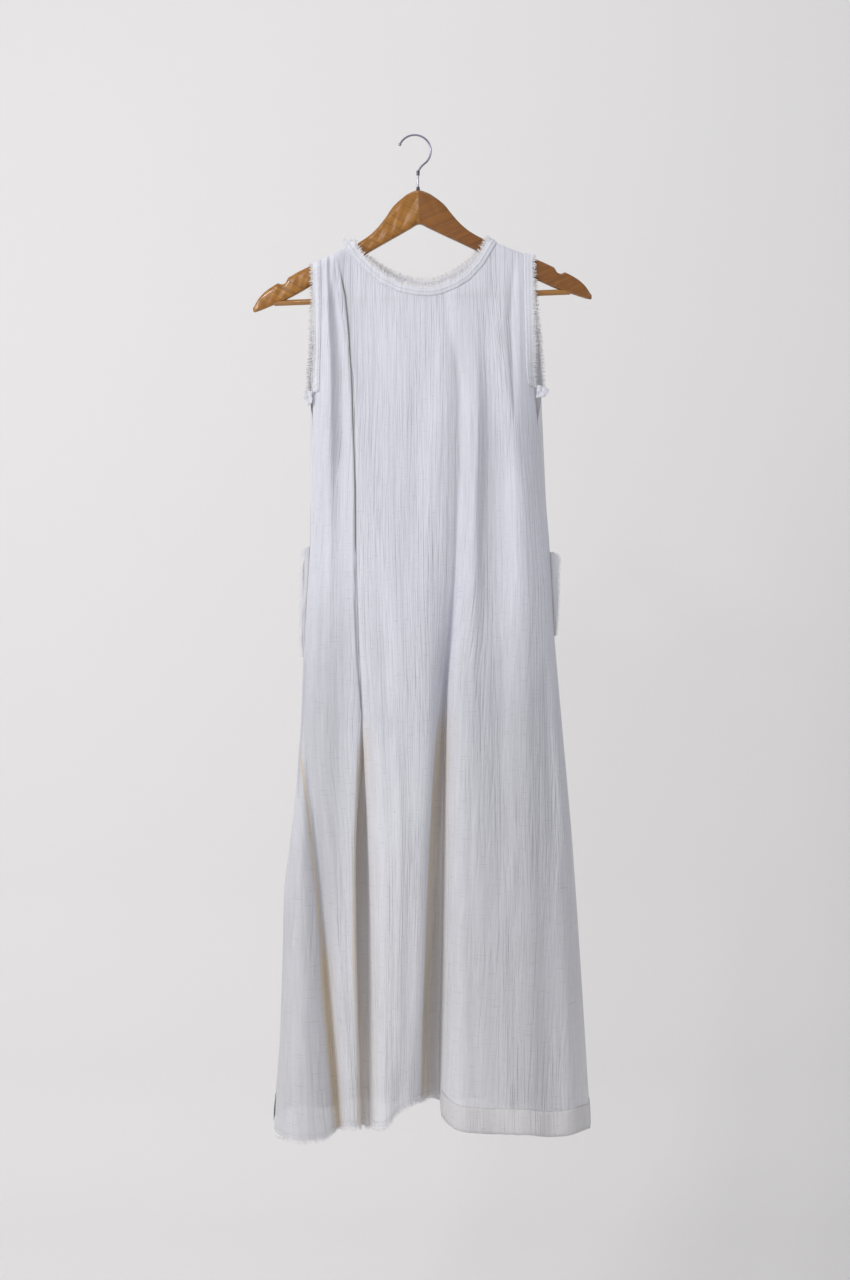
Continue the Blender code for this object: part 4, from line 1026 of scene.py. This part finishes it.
def armSection(way, out):
    table = np.array(hanger["arm"])
    top, under, thick = (float(easedAt(table[:, 0], table[:, i], np.array([out]))[0]) for i in (1, 2, 3))
    at, drop, radius = hanger["notch"]
    if abs(out - at) < radius:
        top = max(top, drop + math.sqrt(radius ** 2 - (out - at) ** 2))
    points = []
    for i in range(hanger["around"]):
        angle = 2 * math.pi * i / hanger["around"]
        c, s = math.cos(angle), math.sin(angle)
        y = math.copysign(abs(c) ** hanger["roundness"], c) * thick / 2
        z = math.copysign(abs(s) ** hanger["roundness"], s) * (under - top) / 2
        points.append((way * out, y, -(top + under) / 2 + z))
    return onHanger(points)


def rounded(made, name):
    # Smooth all over, apart from real edges
    mesh = meshOf(name, made)
    mesh.shade_smooth()
    mesh.set_sharp_from_angle(angle=math.radians(48))
    return mesh


def woodPiece(made, name, solid, material):
    bmesh.ops.recalc_face_normals(made, faces=made.faces)
    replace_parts(placed(name, rounded(made, name), material), solid)


def hangerArm(side, material):
    # A ring drawn out along the arm, section by section, and closed with a domed end
    way = -1 if side == "left" else 1
    table = np.array(hanger["arm"])
    at = np.linspace(hanger["gap"], table[-1, 0], hanger["sections"])
    made = bmesh.new()
    first = bmesh.ops.create_circle(made, segments=hanger["around"], radius=0.01)["verts"]
    for vert, place in zip(first, armSection(way, at[0])):
        vert.co = place
    bmesh.ops.contextual_create(made, geom=[e for e in made.edges])
    ring, edges = first, [e for e in made.edges]
    for out in at[1:]:
        before = set(made.verts)
        grown = bmesh.ops.extrude_edge_only(made, edges=edges)["geom"]
        edges = [g for g in grown if isinstance(g, bmesh.types.BMEdge)]
        fresh = {v: e.other_vert(v) for v in ring for e in v.link_edges if e.other_vert(v) not in before}
        ring = [fresh[v] for v in ring]
        for vert, place in zip(ring, armSection(way, out)):
            vert.co = place
    end = bmesh.ops.extrude_edge_only(made, edges=edges)["geom"]
    tip = [g for g in end if isinstance(g, bmesh.types.BMVert)]
    middle = sum((v.co for v in tip), Vector()) / len(tip)
    for vert in tip:
        vert.co = middle + (vert.co - middle) * 0.6 + Vector((way * 0.0016, 0, -0.0004))
    bmesh.ops.contextual_create(made, geom=[g for g in end if isinstance(g, bmesh.types.BMEdge)])
    bmesh.ops.triangulate(made, faces=[f for f in made.faces if len(f.verts) > 4])
    woodPiece(made, f"woodenArm_{side}", f"hanger_{side}", material)


def rodOf(radius, long, segments, bevel):
    # A rod with softened rims
    made = bmesh.new()
    bmesh.ops.create_cone(made, cap_ends=True, segments=segments, radius1=radius, radius2=radius, depth=long)
    rims = [e for e in made.edges if any(len(f.verts) > 4 for f in e.link_faces)]
    bmesh.ops.bevel(made, geom=rims, offset=bevel, segments=3, profile=0.5, affect="EDGES", material=-1)
    return made


def trouserBar(material):
    bar = hanger["bar"]
    made = rodOf(bar["radius"], 2 * bar["half"], 36, 0.0008)
    bmesh.ops.transform(made, matrix=Matrix.Rotation(math.pi / 2, 4, "Y"), verts=made.verts)
    for vert, place in zip(made.verts, onHanger([v.co + Vector((0, 0, -bar["drop"])) for v in made.verts])):
        vert.co = place
    woodPiece(made, "trouserRail", "trouser_bar", material)


hookWire = {
    "radius": 0.0200, "wire": 0.0013, "open": 152, "ball": 0.0020, "ballOut": 0.8, "stemTop": -0.052, "pull": 0.016,
    "collar": (0.0021, 0.0062, -0.0492),      # radius, length, height of the crimped sleeve
}


def hookRoute():
    radius = hookWire["radius"] + hookWire["wire"]
    points = [Vector((radius * math.cos(a), 0, radius * math.sin(a) - hookWire["radius"]))
              for a in np.radians(np.arange(hookWire["open"], -42, -4))]
    leave, stemTop = points[-1], Vector((hanger["stemAcross"], 0, hookWire["stemTop"]))
    for s in np.linspace(0, 1, 22)[1:]:
        a = leave + Vector((-0.643, 0, -0.766)) * hookWire["pull"] * s
        b = stemTop + Vector((0, 0, hookWire["pull"] * (1 - s)))
        points.append(a.lerp(b, s * s * (3 - 2 * s)))
    points.append(Vector((hanger["stemAcross"], 0, hanger["woodTop"] + 0.0005)))
    return points


def steelHook(material):
    curve = roundCurve("hookWire", hookWire["wire"], 5)
    route = hookRoute()
    line = curve.splines.new("POLY")
    line.points.add(len(route) - 1)
    for spot, at in zip(line.points, route):
        spot.co = (*at, 1)
    line.use_smooth = True
    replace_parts(placed("hookWire", curve, material), "hook")
    made = bmesh.new()
    bmesh.ops.create_uvsphere(made, u_segments=32, v_segments=20, radius=hookWire["ball"])
    start = route[0] + (route[0] - route[1]).normalized() * hookWire["ball"] * hookWire["ballOut"]
    bmesh.ops.translate(made, vec=start, verts=made.verts)
    mesh = meshOf("hookBall", made)
    mesh.shade_smooth()
    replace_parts(placed("hookBall", mesh, material), "hook_tip")


def hookCollar(material):
    # The crimped sleeve where the bent wire meets the stem
    radius, long, height = hookWire["collar"]
    made = rodOf(radius, long, 28, 0.0005)
    bmesh.ops.translate(made, vec=(hanger["stemAcross"], 0, height), verts=made.verts)
    placed("hookCollar", rounded(made, "hookCollar"), material)


def finishHanger(materials):
    hangerArm("left", materials["woodLeftPaintedLight"])
    hangerArm("right", materials["woodRightPaintedShade"])
    trouserBar(materials["woodBar"])
    steelHook(materials["steel"])
    hookCollar(materials["ferrule"])
    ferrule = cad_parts["hook_ferrule"].data.materials
    ferrule.clear()
    ferrule.append(materials["ferrule"])


setUpStudio()
gauze, grain = makeGauzeGroup(), makeGrainGroup()
materials = {key: make(name, finishes[key], *others) for key, make, name, *others in (
    ("cotton", gauzeMaterial, "crinkled cotton", gauze),
    ("backCottonPaintedLight", gauzeMaterial, "crinkled cotton, back, painted light", gauze),
    ("band", gauzeMaterial, "band cotton", gauze, 0.7),
    ("thread", threadMaterial, "loose yarn"),
    ("stitch", threadMaterial, "sewing thread"),
    ("woodLeftPaintedLight", woodMaterial, "lacquered wood, left, painted light", grain),
    ("woodRightPaintedShade", woodMaterial, "lacquered wood, right, painted shade", grain),
    ("woodBar", woodMaterial, "lacquered wood, bar", grain),
    ("steel", steelMaterial, "polished steel"),
    ("ferrule", steelMaterial, "darkened steel"),
)}
sheets = makeDress(materials)
finishHanger(materials)
print("pieces made")
